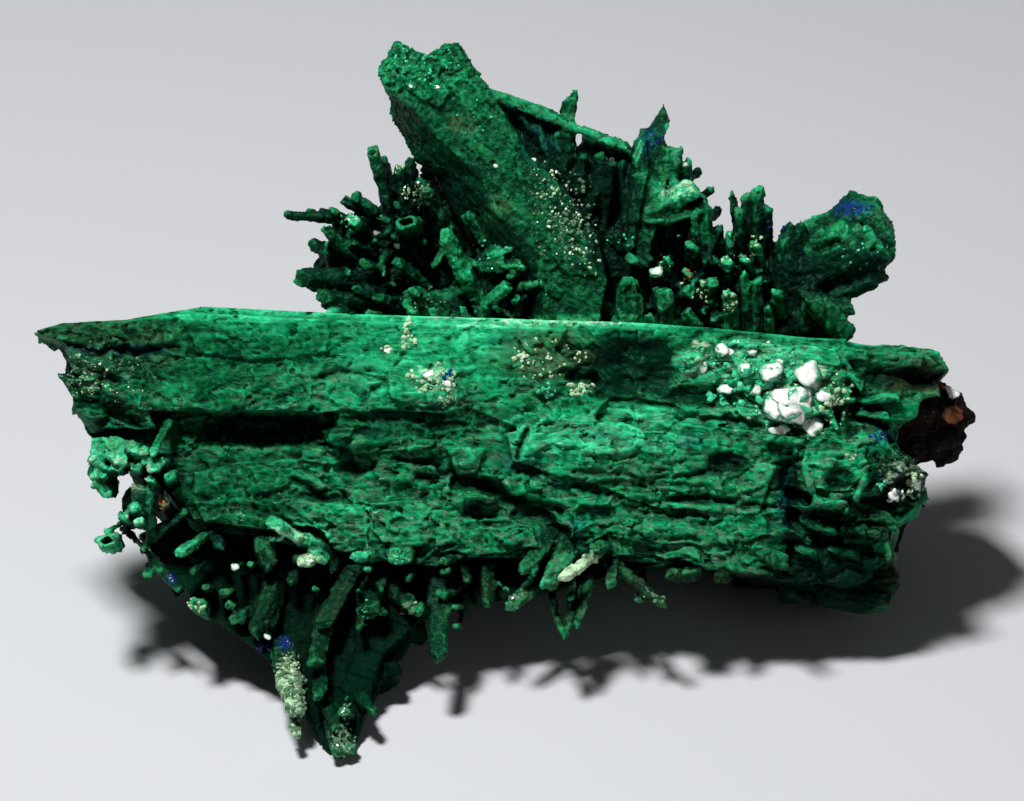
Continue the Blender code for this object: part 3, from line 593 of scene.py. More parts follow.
# Thin steps, each with its front and an outline in the picture's pixels; all go back into the body
THIN_STEPS = [
    (12.3, [(180, 318), (330, 322), (336, 352), (250, 362), (196, 352)]),
    (12.4, [(330, 330), (470, 330), (476, 372), (404, 380), (336, 370)]),
    (12.2, [(390, 372), (452, 366), (462, 402), (420, 410), (392, 400)]),
    (12.9, [(262, 392), (436, 388), (440, 408), (300, 411), (268, 407)]),
    (12.4, [(470, 376), (560, 378), (612, 398), (600, 424), (520, 432), (472, 412)]),
    (11.9, [(500, 430), (590, 430), (606, 462), (560, 478), (512, 462)]),
    (12.5, [(446, 448), (490, 449), (478, 474), (462, 478), (452, 462)]),
    (13, [(328, 432), (420, 436), (432, 448), (360, 452), (330, 444)]),
    (13.2, [(300, 446), (352, 448), (360, 462), (332, 470), (302, 462)]),
    (13, [(190, 470), (284, 464), (300, 484), (250, 500), (196, 494)]),
    (12.7, [(196, 500), (290, 496), (384, 508), (372, 530), (280, 532), (206, 524)]),
    (12.6, [(352, 500), (470, 496), (480, 520), (420, 536), (360, 528)]),
    (12, [(430, 528), (530, 524), (542, 546), (460, 556), (432, 548)]),
    (13.4, [(556, 520), (640, 500), (700, 510), (690, 530), (600, 540), (560, 538)]),
    (12.4, [(612, 476), (740, 470), (770, 484), (752, 500), (640, 500), (616, 490)]),
    (11.8, [(600, 434), (720, 436), (732, 456), (640, 466), (604, 456)]),
    (12.6, [(640, 520), (760, 512), (776, 534), (700, 548), (646, 540)]),
    (13.2, [(650, 552), (780, 548), (786, 580), (742, 574), (690, 566)]),
    (12.8, [(712, 342), (762, 340), (832, 348), (844, 372), (836, 408), (806, 420), (764, 412), (734, 388),
            (718, 366)]),
    (12.3, [(728, 350), (770, 348), (820, 354), (834, 372), (820, 380), (776, 386), (740, 376)]),
    (12, [(766, 388), (800, 382), (830, 388), (832, 412), (792, 422), (768, 412)]),
    (11.9, [(800, 452), (852, 446), (872, 470), (848, 494), (806, 490)]),
    (12.2, [(72, 352), (116, 350), (120, 372), (90, 384), (74, 374)]),
    (12.8, [(60, 376), (92, 380), (96, 400), (78, 404)]),
    (15.6, [(842, 352), (936, 356), (948, 372), (900, 384), (846, 376)]),
    (16.6, [(846, 374), (936, 376), (940, 392), (926, 402), (850, 400)]),
    (14, [(332, 402), (450, 400), (600, 404), (770, 412), (790, 470), (786, 556), (640, 556), (450, 560),
          (300, 530), (196, 504), (172, 476), (250, 462), (336, 456)]),
    (14.6, [(838, 372), (905, 376), (926, 396), (905, 424), (880, 442), (850, 452), (830, 420)]),
    (13.4, [(332, 410), (420, 408), (500, 412), (496, 436), (420, 440), (340, 436)]),
    (15.4, [(786, 520), (890, 520), (892, 560), (850, 590), (790, 580)]),
    (14.6, [(832, 346), (896, 352), (918, 366), (884, 380), (852, 394), (830, 390)]),
    (17.4, [(790, 530), (884, 530), (880, 556), (800, 556)]),
    (14.5, [(770, 440), (812, 446), (826, 496), (884, 512), (886, 536), (786, 536)]),
]

# Short stout lumps at the right end: pixel and depth of both ends, and width in pixels
END_LUMPS = [
    (848, 402, 14, 904, 398, 13.6, 13), (846, 412, 13.8, 896, 416, 13.4, 12),
    (900, 396, 17, 947, 391, 16, 13), (842, 424, 13.6, 892, 440, 13.2, 15),
    (806, 462, 12.6, 812, 496, 11.8, 15), (812, 500, 12.4, 852, 508, 12, 15),
    (856, 502, 12.6, 872, 472, 12, 14), (812, 456, 12.8, 866, 452, 12.2, 14),
    (830, 466, 13.2, 846, 482, 12.6, 10), (876, 448, 14, 906, 462, 13.2, 15),
    (904, 464, 14.4, 926, 482, 13.8, 15), (890, 486, 14, 906, 500, 13.2, 14),
    (914, 486, 14.6, 922, 502, 14, 13), (800, 520, 14, 836, 532, 13, 14),
    (842, 528, 14.4, 880, 536, 13.8, 14), (792, 546, 14.4, 820, 560, 13.6, 15),
    (880, 516, 14.6, 896, 532, 14.2, 13), (828, 548, 15, 862, 556, 14.4, 13),
    (700, 476, 12.6, 724, 488, 12, 15), (708, 534, 13, 736, 546, 12.4, 14),
    (752, 548, 13.2, 786, 562, 12.6, 15), (640, 484, 12.6, 680, 490, 12.2, 12),
    (590, 452, 12, 640, 450, 11.8, 12), (470, 494, 12.8, 500, 502, 12.4, 12),
    (330, 436, 13, 356, 430, 12.4, 14), (404, 446, 12.8, 440, 442, 12.2, 12),
    (846, 362, 15.8, 930, 362, 15.4, 17), (730, 346, 12.6, 760, 350, 12.2, 14),
    (826, 404, 12.8, 838, 432, 12.6, 13), (760, 436, 12.8, 806, 444, 12.4, 13),
    (766, 500, 13.4, 816, 512, 13.4, 14), (764, 530, 13.6, 812, 540, 14, 15),
    (770, 572, 14.6, 816, 580, 16, 14), (828, 352, 13.6, 872, 356, 14.4, 14),
    (834, 376, 13.6, 868, 386, 14.4, 14), (390, 466, 13.4, 436, 472, 12.9, 12),
    (380, 482, 13.4, 412, 478, 13, 12), (560, 400, 13.2, 600, 392, 13.4, 14),
]
BODY_LUMPS = [
    (through(*ends[:3]), through(*ends[3:]), width / PIXELS_A_MM, "blunt", 0.0, 0.4 * number)
    for number, (*ends, width) in enumerate(END_LUMPS)
]
plates = [add_plate(BODY, 16.0, 27.0, slant=TOP_SLANT)]
plates += [add_plate(outline, front, back, slant=TOP_SLANT) for front, back, outline in LEDGES.values()]
plates += [
    add_plate([seen(*p) for p in outline], front, front + STEP_THICKNESS) for front, outline in THIN_STEPS
]
plates += [set_crystal(lump) for lump in BODY_LUMPS]
long_crystal = join_all(plates, "long_crystal")
fuse(long_crystal, FACE_SQUARE_MM)
depth_behind = face_places(points_of(long_crystal)[0])[:, 2]
thin_out(long_crystal, np.where(depth_behind > VIEW_DEPTH, 1.0, 0.0), KEPT_SHARE)

# %% [markdown]
# ## Layers, cracks and pits of the long crystal
# Close up, the face steps up and down in thin lying layers, most of all in its lower half. The
# layers come from slow noise that is cut into steps. Cracks are lines along which the face is
# pushed in, and pits are small hollows. Only what faces the front is shaped this way.

# %% Relief of the long crystal
CRACKS = [  # points in pixels, then width and depth in millimetres
    ([(54, 346), (90, 351), (135, 351), (180, 345)], 0.4, 0.9),
    ([(60, 360), (104, 372), (120, 382)], 0.5, 0.8),
    ([(524, 434), (520, 458)], 0.35, 1.1),
    ([(462, 480), (500, 492), (538, 516), (560, 534)], 0.9, 1.5),
    ([(788, 460), (786, 480), (792, 508), (812, 522), (850, 528)], 1.2, 1.0),
    ([(784, 540), (850, 546), (880, 556)], 0.7, 1.0),
    ([(878, 376), (906, 380), (934, 378)], 0.8, 1.2),
    ([(576, 470), (640, 478), (720, 474)], 0.4, 0.7),
    ([(470, 505), (520, 500), (560, 512)], 0.5, 1.1),
    ([(590, 396), (650, 404), (760, 425)], 0.35, 0.6),
    ([(840, 380), (862, 400), (850, 430)], 0.6, 1.0),
    ([(640, 505), (700, 498), (760, 506)], 0.35, 0.7),
    ([(590, 492), (660, 490)], 0.3, 0.6),
    ([(300, 480), (330, 500), (360, 502)], 0.4, 0.7),
    ([(340, 452), (356, 474)], 0.8, 1.2),
    ([(850, 430), (900, 428), (930, 440)], 0.7, 1.2),
    ([(318, 376), (372, 372), (388, 384), (360, 398)], 0.6, 0.5),
    ([(560, 372), (590, 376), (600, 392)], 0.7, 0.9),
    ([(184, 330), (230, 334)], 0.35, 0.35),
]


def line_depth(face, points, width, depth):
    """How far the face is pushed in beside a line through several pixels."""
    nearest = np.full(len(face), np.inf)
    for start, stop in zip(points, points[1:]):
        start, stop = np.array(seen(*start)), np.array(seen(*stop))
        along = stop - start
        share = np.clip(((face[:, :2] - start) @ along) / (along @ along), 0, 1)
        nearest = np.minimum(nearest, np.linalg.norm(face[:, :2] - start - share[:, None] * along, axis=1))
    return depth * np.exp(-((nearest / width) ** 2))


def layered(face, seed, height_mm, length_mm):
    """Flat lying steps, each with its own height, that end in sharp edges."""
    waver = soft_noise(face / (11, 4, 6), seed)
    layer = np.floor(face[:, 1] / height_mm + 1.8 * waver)
    broken = np.floor(face[:, 0] / length_mm + 0.7 * layer + 1.6 * soft_noise(face / 3.0, seed + 1))
    cells = np.stack([layer, broken, np.zeros(len(face))], axis=1).astype(np.int64)
    return random_at(cells, seed + 2) - 0.5


HOLLOWS = [  # middle and half widths in pixels, and depth in millimetres
    (262, 429, 84, 18, 2.4), (255, 426, 60, 14, 1.2), (400, 418, 70, 6, 0.5), (120, 425, 40, 16, 1.4),
    (636, 366, 50, 30, 1.5), (706, 396, 44, 13, 0.8), (360, 462, 20, 12, 1), (494, 512, 34, 7, 0.8),
    (788, 480, 11, 28, 0.7), (530, 470, 22, 8, 0.9), (838, 478, 17, 12, 1), (620, 484, 60, 6, 0.7),
    (860, 412, 30, 12, 1.2), (330, 496, 26, 7, 0.8), (700, 500, 50, 5, 0.7), (560, 552, 26, 8, 1),
    (445, 425, 24, 5, 0.8), (596, 512, 24, 8, 0.8), (728, 460, 26, 8, 0.8), (716, 468, 14, 6, 0.5),
    (590, 378, 16, 8, 0.6),
]
SWELLS = [
    (235, 486, 54, 22, 0.8), (466, 458, 20, 11, 0.5), (476, 498, 24, 9, 0.9), (345, 440, 34, 8, 1.1),
    (770, 372, 12, 9, 0.9), (810, 376, 13, 11, 1), (786, 404, 22, 15, 0.9), (813, 426, 9, 8, 0.8),
    (547, 390, 14, 8, 0.8), (415, 452, 34, 7, 0.9), (720, 352, 10, 7, 0.6), (745, 370, 10, 7, 0.6),
    (728, 390, 10, 8, 0.7), (688, 364, 20, 13, 1), (435, 378, 24, 13, 0.5), (560, 448, 44, 10, 0.5),
    (905, 480, 24, 20, 0.8), (660, 530, 40, 8, 0.7), (420, 540, 50, 8, 0.7), (240, 520, 40, 9, 0.7),
]

places, directions = points_of(long_crystal)
face = face_places(places)
to_front, up_face = np.array([0, -LEAN_COS, LEAN_SIN]), np.array([0, LEAN_SIN, LEAN_COS])
frontal = ease(0.0, 0.6, directions @ to_front)
below_top = ease(54.2, 52.4, face[:, 1] - 0.02 * np.abs(face[:, 0]))
places += (1.6 * below_top * (soft_noise(face / 2.6, 61) - 0.5))[:, None] * np.array([1, 0, 0])
places += (0.8 * below_top * (soft_noise(face / 2.6, 67) - 0.5))[:, None] * up_face
low_half = ease(46.5, 42.5, face[:, 1] + 0.03 * face[:, 0])
ragged = np.clip(0.15 + 0.60 * low_half + patch_sum(face, ROUGH_PATCHES), 0, 1)
wavy = face + 1.6 * (soft_noise(face / 2.2, 77)[:, None] - 0.5)
lift = (0.05 + 0.52 * ragged) * (layered(wavy, 3, 2.3, 7.0) + 0.6 * layered(wavy, 9, 1.2, 3.6))
slanted = np.stack([face[:, 0] + 0.6 * face[:, 1], face[:, 1] - 0.6 * face[:, 0], face[:, 2]], axis=1)
lift -= 0.40 * cell_pits(slanted / (2.6, 1.2, 2.0), 0.34, 0.30, 21)
lift -= 0.30 * cell_pits(slanted / (1.7, 0.9, 1.3), 0.36, 0.32, 63)
lift += 0.40 * (soft_noise(face / (7, 4, 5), 14) - 0.5)
lift += (0.30 + 0.56 * ragged) * facet_noise(face / (2.0, 1.3, 1.8), 41)
lift += (0.09 + 0.09 * ragged) * facet_noise(face / (0.9, 0.7, 0.9), 43)
rim = 0.35 * (soft_noise(face / 2.2, 51) - 0.5)
deep = np.zeros(len(face))
for *ellipse, depth in HOLLOWS:
    deep -= depth * ease(1.15, 0.45, reach_of(face, *ellipse) + rim)
for *ellipse, height in SWELLS:
    deep += height * ease(1.1, 0.5, reach_of(face, *ellipse) + rim)
for points, width, depth in CRACKS:
    deep -= line_depth(face + 0.5 * (soft_noise(face / 1.7, 5)[:, None] - 0.5), points, width, depth)
places += to_front * (lift * frontal + deep * ease(21.0, 17.5, face[:, 2]))[:, None]
below = -directions @ up_face
behind = np.maximum(ease(-0.1, -0.7, directions @ to_front), ease(0.35, 0.75, np.abs(directions[:, 0])))
behind = np.maximum(behind, ease(0.3, 0.7, below)) * ease(15.5, 18.5, face[:, 2])
rough = 0.9 * layered(wavy, 21, 4.3, 13.0) + 1.3 * facet_noise(face / (7.0, 3.4, 5.0), 47)
rough += 0.8 * facet_noise(face / (2.6, 1.6, 2.2), 49) - 0.3
places += directions * (rough * behind)[:, None]
move_points(long_crystal, places)
upward = ease(0.35, 0.8, directions[:, 2]) * ease(52.0, 54.0, face[:, 1])
keep(long_crystal, ragged=np.maximum(ragged, 0.8 * behind) * (1 - upward))
crumble(long_crystal, [(1.6, 0.26), (0.8, 0.12)], share=(0.45 + 0.55 * ragged) * (1 - 0.7 * upward))
print("relief of the face:", lift.min().round(2), "to", lift.max().round(2), "mm")

# %% [markdown]
# ## The leaning crystal
# A thick blade stands behind the long crystal's top edge and leans to the left. Its front is one
# plate with its dark left side in view, and ragged steps and chips follow its edges.

# %% Leaning crystal
LEANER_RIGHT = [
    (-16, 88.8), (-13.6, 92.2), (-11.4, 91), (-9.6, 90.4), (-7.4, 91.8), (-5.8, 92), (-4.2, 89.5),
    (-2.6, 87.4), (-1, 85), (0.9, 82.4), (3.6, 77.6), (6.3, 75), (8.7, 72.5), (11.2, 69), (12.7, 66.8),
    (13.7, 61), (11.8, 50),
]
LEANER_LEFT = [
    (6.4, 50), (5.6, 60), (3.4, 63.5), (1.4, 66.8), (-0.6, 70), (-3, 74.5), (-5.4, 77.1), (-7.7, 79.4),
    (-10.2, 81.8), (-12.1, 84), (-15.2, 86.2),
]
LEANER_BEHIND = [
    (2.4, 50), (1.8, 57.6), (-0.4, 60.8), (-2.9, 64.4), (-5.2, 68.2), (-7.6, 72.4), (-8.6, 74.9),
    (-11.6, 77), (-13, 80), (-14.4, 82), (-14.8, 85.4),
]
LEANER_STEPS = [
    (22, [(392, 60), (430, 62), (452, 92), (440, 108), (408, 92)]),
    (22.2, [(440, 56), (464, 62), (488, 100), (470, 112), (446, 84)]),
    (22.2, [(512, 146), (552, 176), (588, 222), (560, 232), (520, 186)]),
    (22.1, [(548, 214), (596, 240), (600, 276), (566, 276), (544, 246)]),
]

plates = [add_plate(LEANER_RIGHT + LEANER_LEFT, 22.5, 28.5, behind=LEANER_RIGHT + LEANER_BEHIND)]
plates += [add_plate([seen(*p) for p in outline], front, 26.0) for front, outline in LEANER_STEPS]
leaning_crystal = join_all(plates, "leaning_crystal")
fuse(leaning_crystal, 0.23)
places, directions = points_of(leaning_crystal)
face = face_places(places)
frontal = ease(0.1, 0.7, directions @ to_front)
along, aside = 0.63 * face[:, 0] + 0.78 * face[:, 1], 0.78 * face[:, 0] - 0.63 * face[:, 1]
slanted = np.stack([along, aside, face[:, 2]], axis=1)
lift = 0.35 * (soft_noise(slanted / (1, 5, 3), 8) - 0.5)
lift += 0.30 * layered(slanted[:, [1, 0, 2]], 15, 1.5, 6.0)
lift -= 0.35 * cell_pits(face / 1.5, 0.35, 0.32, 33)
places += directions * (lift * (0.35 + 0.65 * frontal))[:, None]
move_points(leaning_crystal, places)
keep(leaning_crystal, ragged=0.7)
top_share = 0.8 + 0.9 * ease(84.0, 87.5, face[:, 1])
crumble(leaning_crystal, [(1.9, 0.26), (0.9, 0.26), (0.5, 0.14)], share=top_share)

# %% [markdown]
# ## Crystals listed one by one
# Every small crystal that can be told apart in the picture has its own numbers here: the pixel and
# the depth in millimetres of its foot, then of its tip, its width in pixels, and its tone, from 0
# for deep green to 1 for cream. The kind of end comes last where it isn't blunt.

# %% Upper left and upper right crystals
UPPER_LEFT = [
    (420, 224, 31, 281, 215, 27.5, 15, 0.3, "point"), (400, 234, 31, 306, 211, 29, 13, 0.2),
    (392, 236, 31, 352, 191, 27.5, 19, 0.15, "chisel"), (400, 236, 32, 341, 198, 29, 15, 0.15, "chisel"),
    (404, 252, 32, 371, 147, 26.5, 21, 0.3, "hollow"), (412, 250, 33, 381, 156, 29, 15, 0.15),
    (414, 232, 31, 397, 163, 27, 16, 0.3, "chisel"), (422, 230, 32, 408, 158, 29, 16, 0.2),
    (434, 236, 32, 422, 178, 26, 17, 0.25), (430, 215, 30, 425, 187, 24.5, 15, 0.5, "hollow"),
    (422, 240, 34, 405, 221, 22.5, 25, 0.42, "hollow"), (372, 240, 33, 352, 219, 24, 17, 0.7, "hollow"),
    (370, 273, 30, 322, 225, 25, 19, 0.28, "chisel"), (360, 263, 31, 309, 244, 27.5, 18, 0.18),
    (386, 278, 30, 296, 279, 24.5, 26, 0.3), (385, 302, 28, 317, 296, 24, 21, 0.25),
    (427, 286, 30, 393, 259, 23, 18, 0.38, "chisel"), (490, 320, 28, 441, 230, 22, 22, 0.6),
    (515, 282, 30, 463, 211, 25, 20, 0.36, "chisel"), (480, 264, 27, 516, 244, 24, 14, 0.74),
    (468, 270, 27.5, 527, 263, 23.5, 19, 0.7), (478, 252, 28, 513, 238, 25, 11, 0.66),
    (478, 312, 26, 512, 283, 22.5, 19, 0.7), (500, 292, 26, 546, 281, 23, 16, 0.7),
    (546, 332, 22, 546, 292, 19.8, 8, 0.62, "chisel"), (456, 324, 26, 403, 288, 21.5, 30, 0.46, "chisel"),
    (420, 327, 24, 408, 303, 20.5, 19, 0.4), (395, 267, 32, 345, 239, 26, 17, 0.2, "chisel"),
    (405, 277, 31, 361, 263, 24.5, 16, 0.22), (400, 302, 29, 351, 286, 24, 17, 0.26, "chisel"),
    (420, 312, 28, 374, 296, 23, 16, 0.22), (412, 264, 31, 383, 216, 25.5, 16, 0.2),
    (418, 252, 31, 395, 198, 27, 15, 0.2, "chisel"), (445, 262, 32, 437, 206, 27.5, 16, 0.2, "chisel"),
    (450, 264, 33, 452, 222, 28, 14, 0.25, "chisel"), (462, 260, 34, 424, 164, 31, 26, 0),
    (478, 270, 34, 446, 190, 31, 24, 0), (372, 250, 31, 334, 214, 28.5, 13, 0.22),
    (400, 246, 31.5, 366, 201, 27.5, 14, 0.18), (352, 316, 26, 330, 310, 23, 14, 0.22),
    (384, 322, 25, 366, 311, 22, 15, 0.28, "chisel"), (440, 330, 23, 430, 306, 20.5, 15, 0.35, "chisel"),
    (470, 330, 24, 462, 304, 22, 14, 0.3, "chisel"), (432, 300, 35, 352, 234, 31, 40, 0),
    (440, 300, 35, 386, 192, 31.5, 38, 0), (450, 300, 35, 411, 187, 32, 36, 0),
    (460, 300, 36, 440, 208, 33, 40, 0), (425, 305, 34, 314, 264, 31, 38, 0),
    (430, 312, 34, 320, 295, 30, 32, 0), (404, 250, 35, 332, 216, 31, 24, 0),
]
UPPER_RIGHT = [
    (485, 93, 26.6, 629, 148, 27, 14, 0.75), (563, 152, 28.5, 576, 87, 27.5, 13, 0.2, "chisel"),
    (566, 116, 27.8, 573, 93, 26.5, 15, 0.25), (567, 162, 29, 567, 112, 27, 21, 0.2),
    (556, 200, 31, 524, 112, 29, 24, 0.1, "chisel"), (570, 200, 31, 548, 117, 29, 25, 0.1, "chisel"),
    (545, 190, 31, 512, 102, 29.5, 26, 0.12, "chisel"), (592, 204, 32, 590, 136, 29.5, 19, 0.15),
    (560, 210, 32, 532, 112, 30, 32, 0.06), (640, 250, 32, 652, 190, 29, 26, 0.12, "chisel"),
    (668, 262, 32, 668, 212, 28.5, 24, 0.1), (684, 262, 32, 688, 222, 28.5, 18, 0.08),
    (640, 270, 31, 632, 214, 28, 18, 0.16, "chisel"), (654, 262, 31, 648, 228, 27.5, 14, 0.2, "chisel"),
    (610, 216, 32, 607, 141, 29, 22, 0.18), (596, 240, 32, 575, 158, 29.5, 30, 0),
    (794, 266, 31, 866, 220, 26.6, 48, 0.26), (800, 276, 31, 884, 232, 26, 50, 0.26),
    (806, 286, 31, 894, 246, 26.4, 48, 0.2), (812, 294, 31, 886, 262, 27.2, 44, 0.12),
    (810, 274, 29, 876, 240, 24.8, 32, 0.3, "chisel"), (800, 254, 29.5, 840, 228, 25.5, 24, 0.34),
    (800, 300, 31, 862, 280, 28, 30, 0.1), (790, 300, 31, 812, 250, 28, 26, 0.2, "chisel"),
    (840, 300, 31, 848, 286, 28.5, 22, 0.1), (602, 232, 31, 612, 159, 27, 13, 0.6),
    (624, 222, 32, 624, 148, 29.5, 22, 0.2, "chisel"), (654, 232, 32, 662, 142, 28.5, 20, 0.18, "chisel"),
    (666, 218, 30, 674, 145, 27.5, 22, 0.5), (690, 214, 31, 685, 158, 28, 17, 0.3),
    (655, 213, 29, 700, 186, 24.5, 25, 0.66), (660, 202, 29, 691, 182, 25, 15, 0.7),
    (632, 223, 28, 668, 220, 25.5, 10, 0.5), (664, 222, 27, 701, 209, 25.5, 10, 0.5),
    (702, 302, 30, 702, 197, 26, 21, 0.36, "chisel"), (694, 292, 29, 695, 213, 25.5, 9, 0.4),
    (711, 292, 29.5, 709, 207, 26.5, 9, 0.32), (716, 302, 31, 718, 223, 28, 15, 0.28),
    (655, 277, 28, 628, 256, 23.5, 16, 0.64), (662, 294, 28, 655, 269, 23, 17, 0.84, "hollow"),
    (672, 292, 28, 667, 254, 24.5, 15, 0.6, "chisel"), (630, 257, 28, 604, 235, 24, 16, 0.46, "chisel"),
    (695, 277, 28.5, 690, 242, 24.5, 16, 0.42), (695, 292, 27, 686, 270, 23.5, 15, 0.4),
    (632, 332, 26, 624, 272, 21.5, 40, 0.36, "point"), (664, 332, 26, 661, 283, 22, 28, 0.36, "chisel"),
    (690, 317, 27, 684, 286, 22.5, 20, 0.36, "chisel"), (712, 312, 27, 708, 279, 22.5, 22, 0.4),
    (690, 332, 25, 688, 307, 21, 20, 0.3, "chisel"), (655, 332, 24, 648, 313, 20.5, 15, 0.3, "chisel"),
    (738, 262, 31, 732, 187, 27.5, 10, 0.3, "point"), (748, 262, 31, 745, 192, 27, 14, 0.36),
    (758, 264, 31, 757, 185, 26.5, 15, 0.42), (768, 262, 32, 767, 205, 27.5, 13, 0.3),
    (740, 264, 30, 739, 207, 26, 12, 0.32), (735, 292, 30, 729, 227, 26, 18, 0.36, "chisel"),
    (760, 272, 28, 755, 241, 24, 15, 0.74, "hollow"), (752, 287, 28, 744, 255, 24, 15, 0.66),
    (730, 292, 28, 726, 257, 24.5, 16, 0.6), (786, 302, 30, 790, 215, 26.5, 34, 0.3, "point"),
    (788, 312, 30, 784, 238, 27, 30, 0.26, "chisel"), (805, 307, 28, 858, 309, 26, 21, 0.26),
    (846, 337, 26, 798, 283, 22, 29, 0.36, "chisel"), (770, 337, 26, 768, 304, 22, 12, 0.4, "chisel"),
    (780, 317, 27, 777, 290, 23, 15, 0.4), (730, 332, 26, 730, 289, 22, 18, 0.46),
    (746, 337, 27, 745, 268, 23.5, 12, 0.36, "chisel"), (758, 332, 27, 757, 276, 24.5, 14, 0.28),
    (812, 330, 28, 810, 280, 25, 20, 0.24, "chisel"), (600, 250, 32, 584, 205, 29, 18, 0.1, "chisel"),
    (640, 300, 33, 640, 236, 30, 20, 0.1, "chisel"), (672, 262, 33, 668, 216, 30, 22, 0.05),
    (606, 330, 27, 606, 296, 24, 16, 0.25, "chisel"), (580, 300, 36, 560, 168, 32, 44, 0),
    (600, 300, 36, 590, 168, 33, 42, 0), (640, 300, 36, 622, 164, 33, 42, 0),
    (662, 300, 36, 658, 164, 33, 40, 0), (690, 300, 36, 690, 204, 32.5, 40, 0),
    (720, 300, 36, 722, 240, 32, 36, 0), (755, 300, 36, 755, 210, 31, 36, 0),
    (790, 300, 35, 787, 246, 31, 36, 0), (820, 304, 35, 815, 286, 31, 32, 0),
    (796, 340, 31, 800, 306, 29, 34, 0), (826, 342, 31, 830, 312, 29.5, 34, 0),
    (676, 214, 32, 678, 158, 29, 26, 0.1, "chisel"), (700, 226, 31, 697, 190, 28, 22, 0.2),
    (556, 176, 29, 536, 118, 27.4, 16, 0.3, "chisel"), (548, 150, 29, 516, 108, 27.6, 15, 0.34, "chisel"),
    (570, 190, 29, 553, 130, 27.2, 14, 0.34), (578, 200, 29.5, 584, 152, 27.6, 13, 0.3, "chisel"),
    (600, 208, 29.5, 600, 150, 27.6, 13, 0.2), (560, 205, 29, 540, 160, 27.5, 14, 0.26, "chisel"),
    (628, 210, 29.5, 622, 156, 27.6, 15, 0.34, "chisel"), (585, 226, 30, 596, 190, 27.8, 12, 0.2),
]

# %% [markdown]
# ## Hanging crystals
# They come out from under the long crystal and down to the front tip. Their depth follows from what
# carries them, so a line has no depths. Its last number is how far the tip stands out.

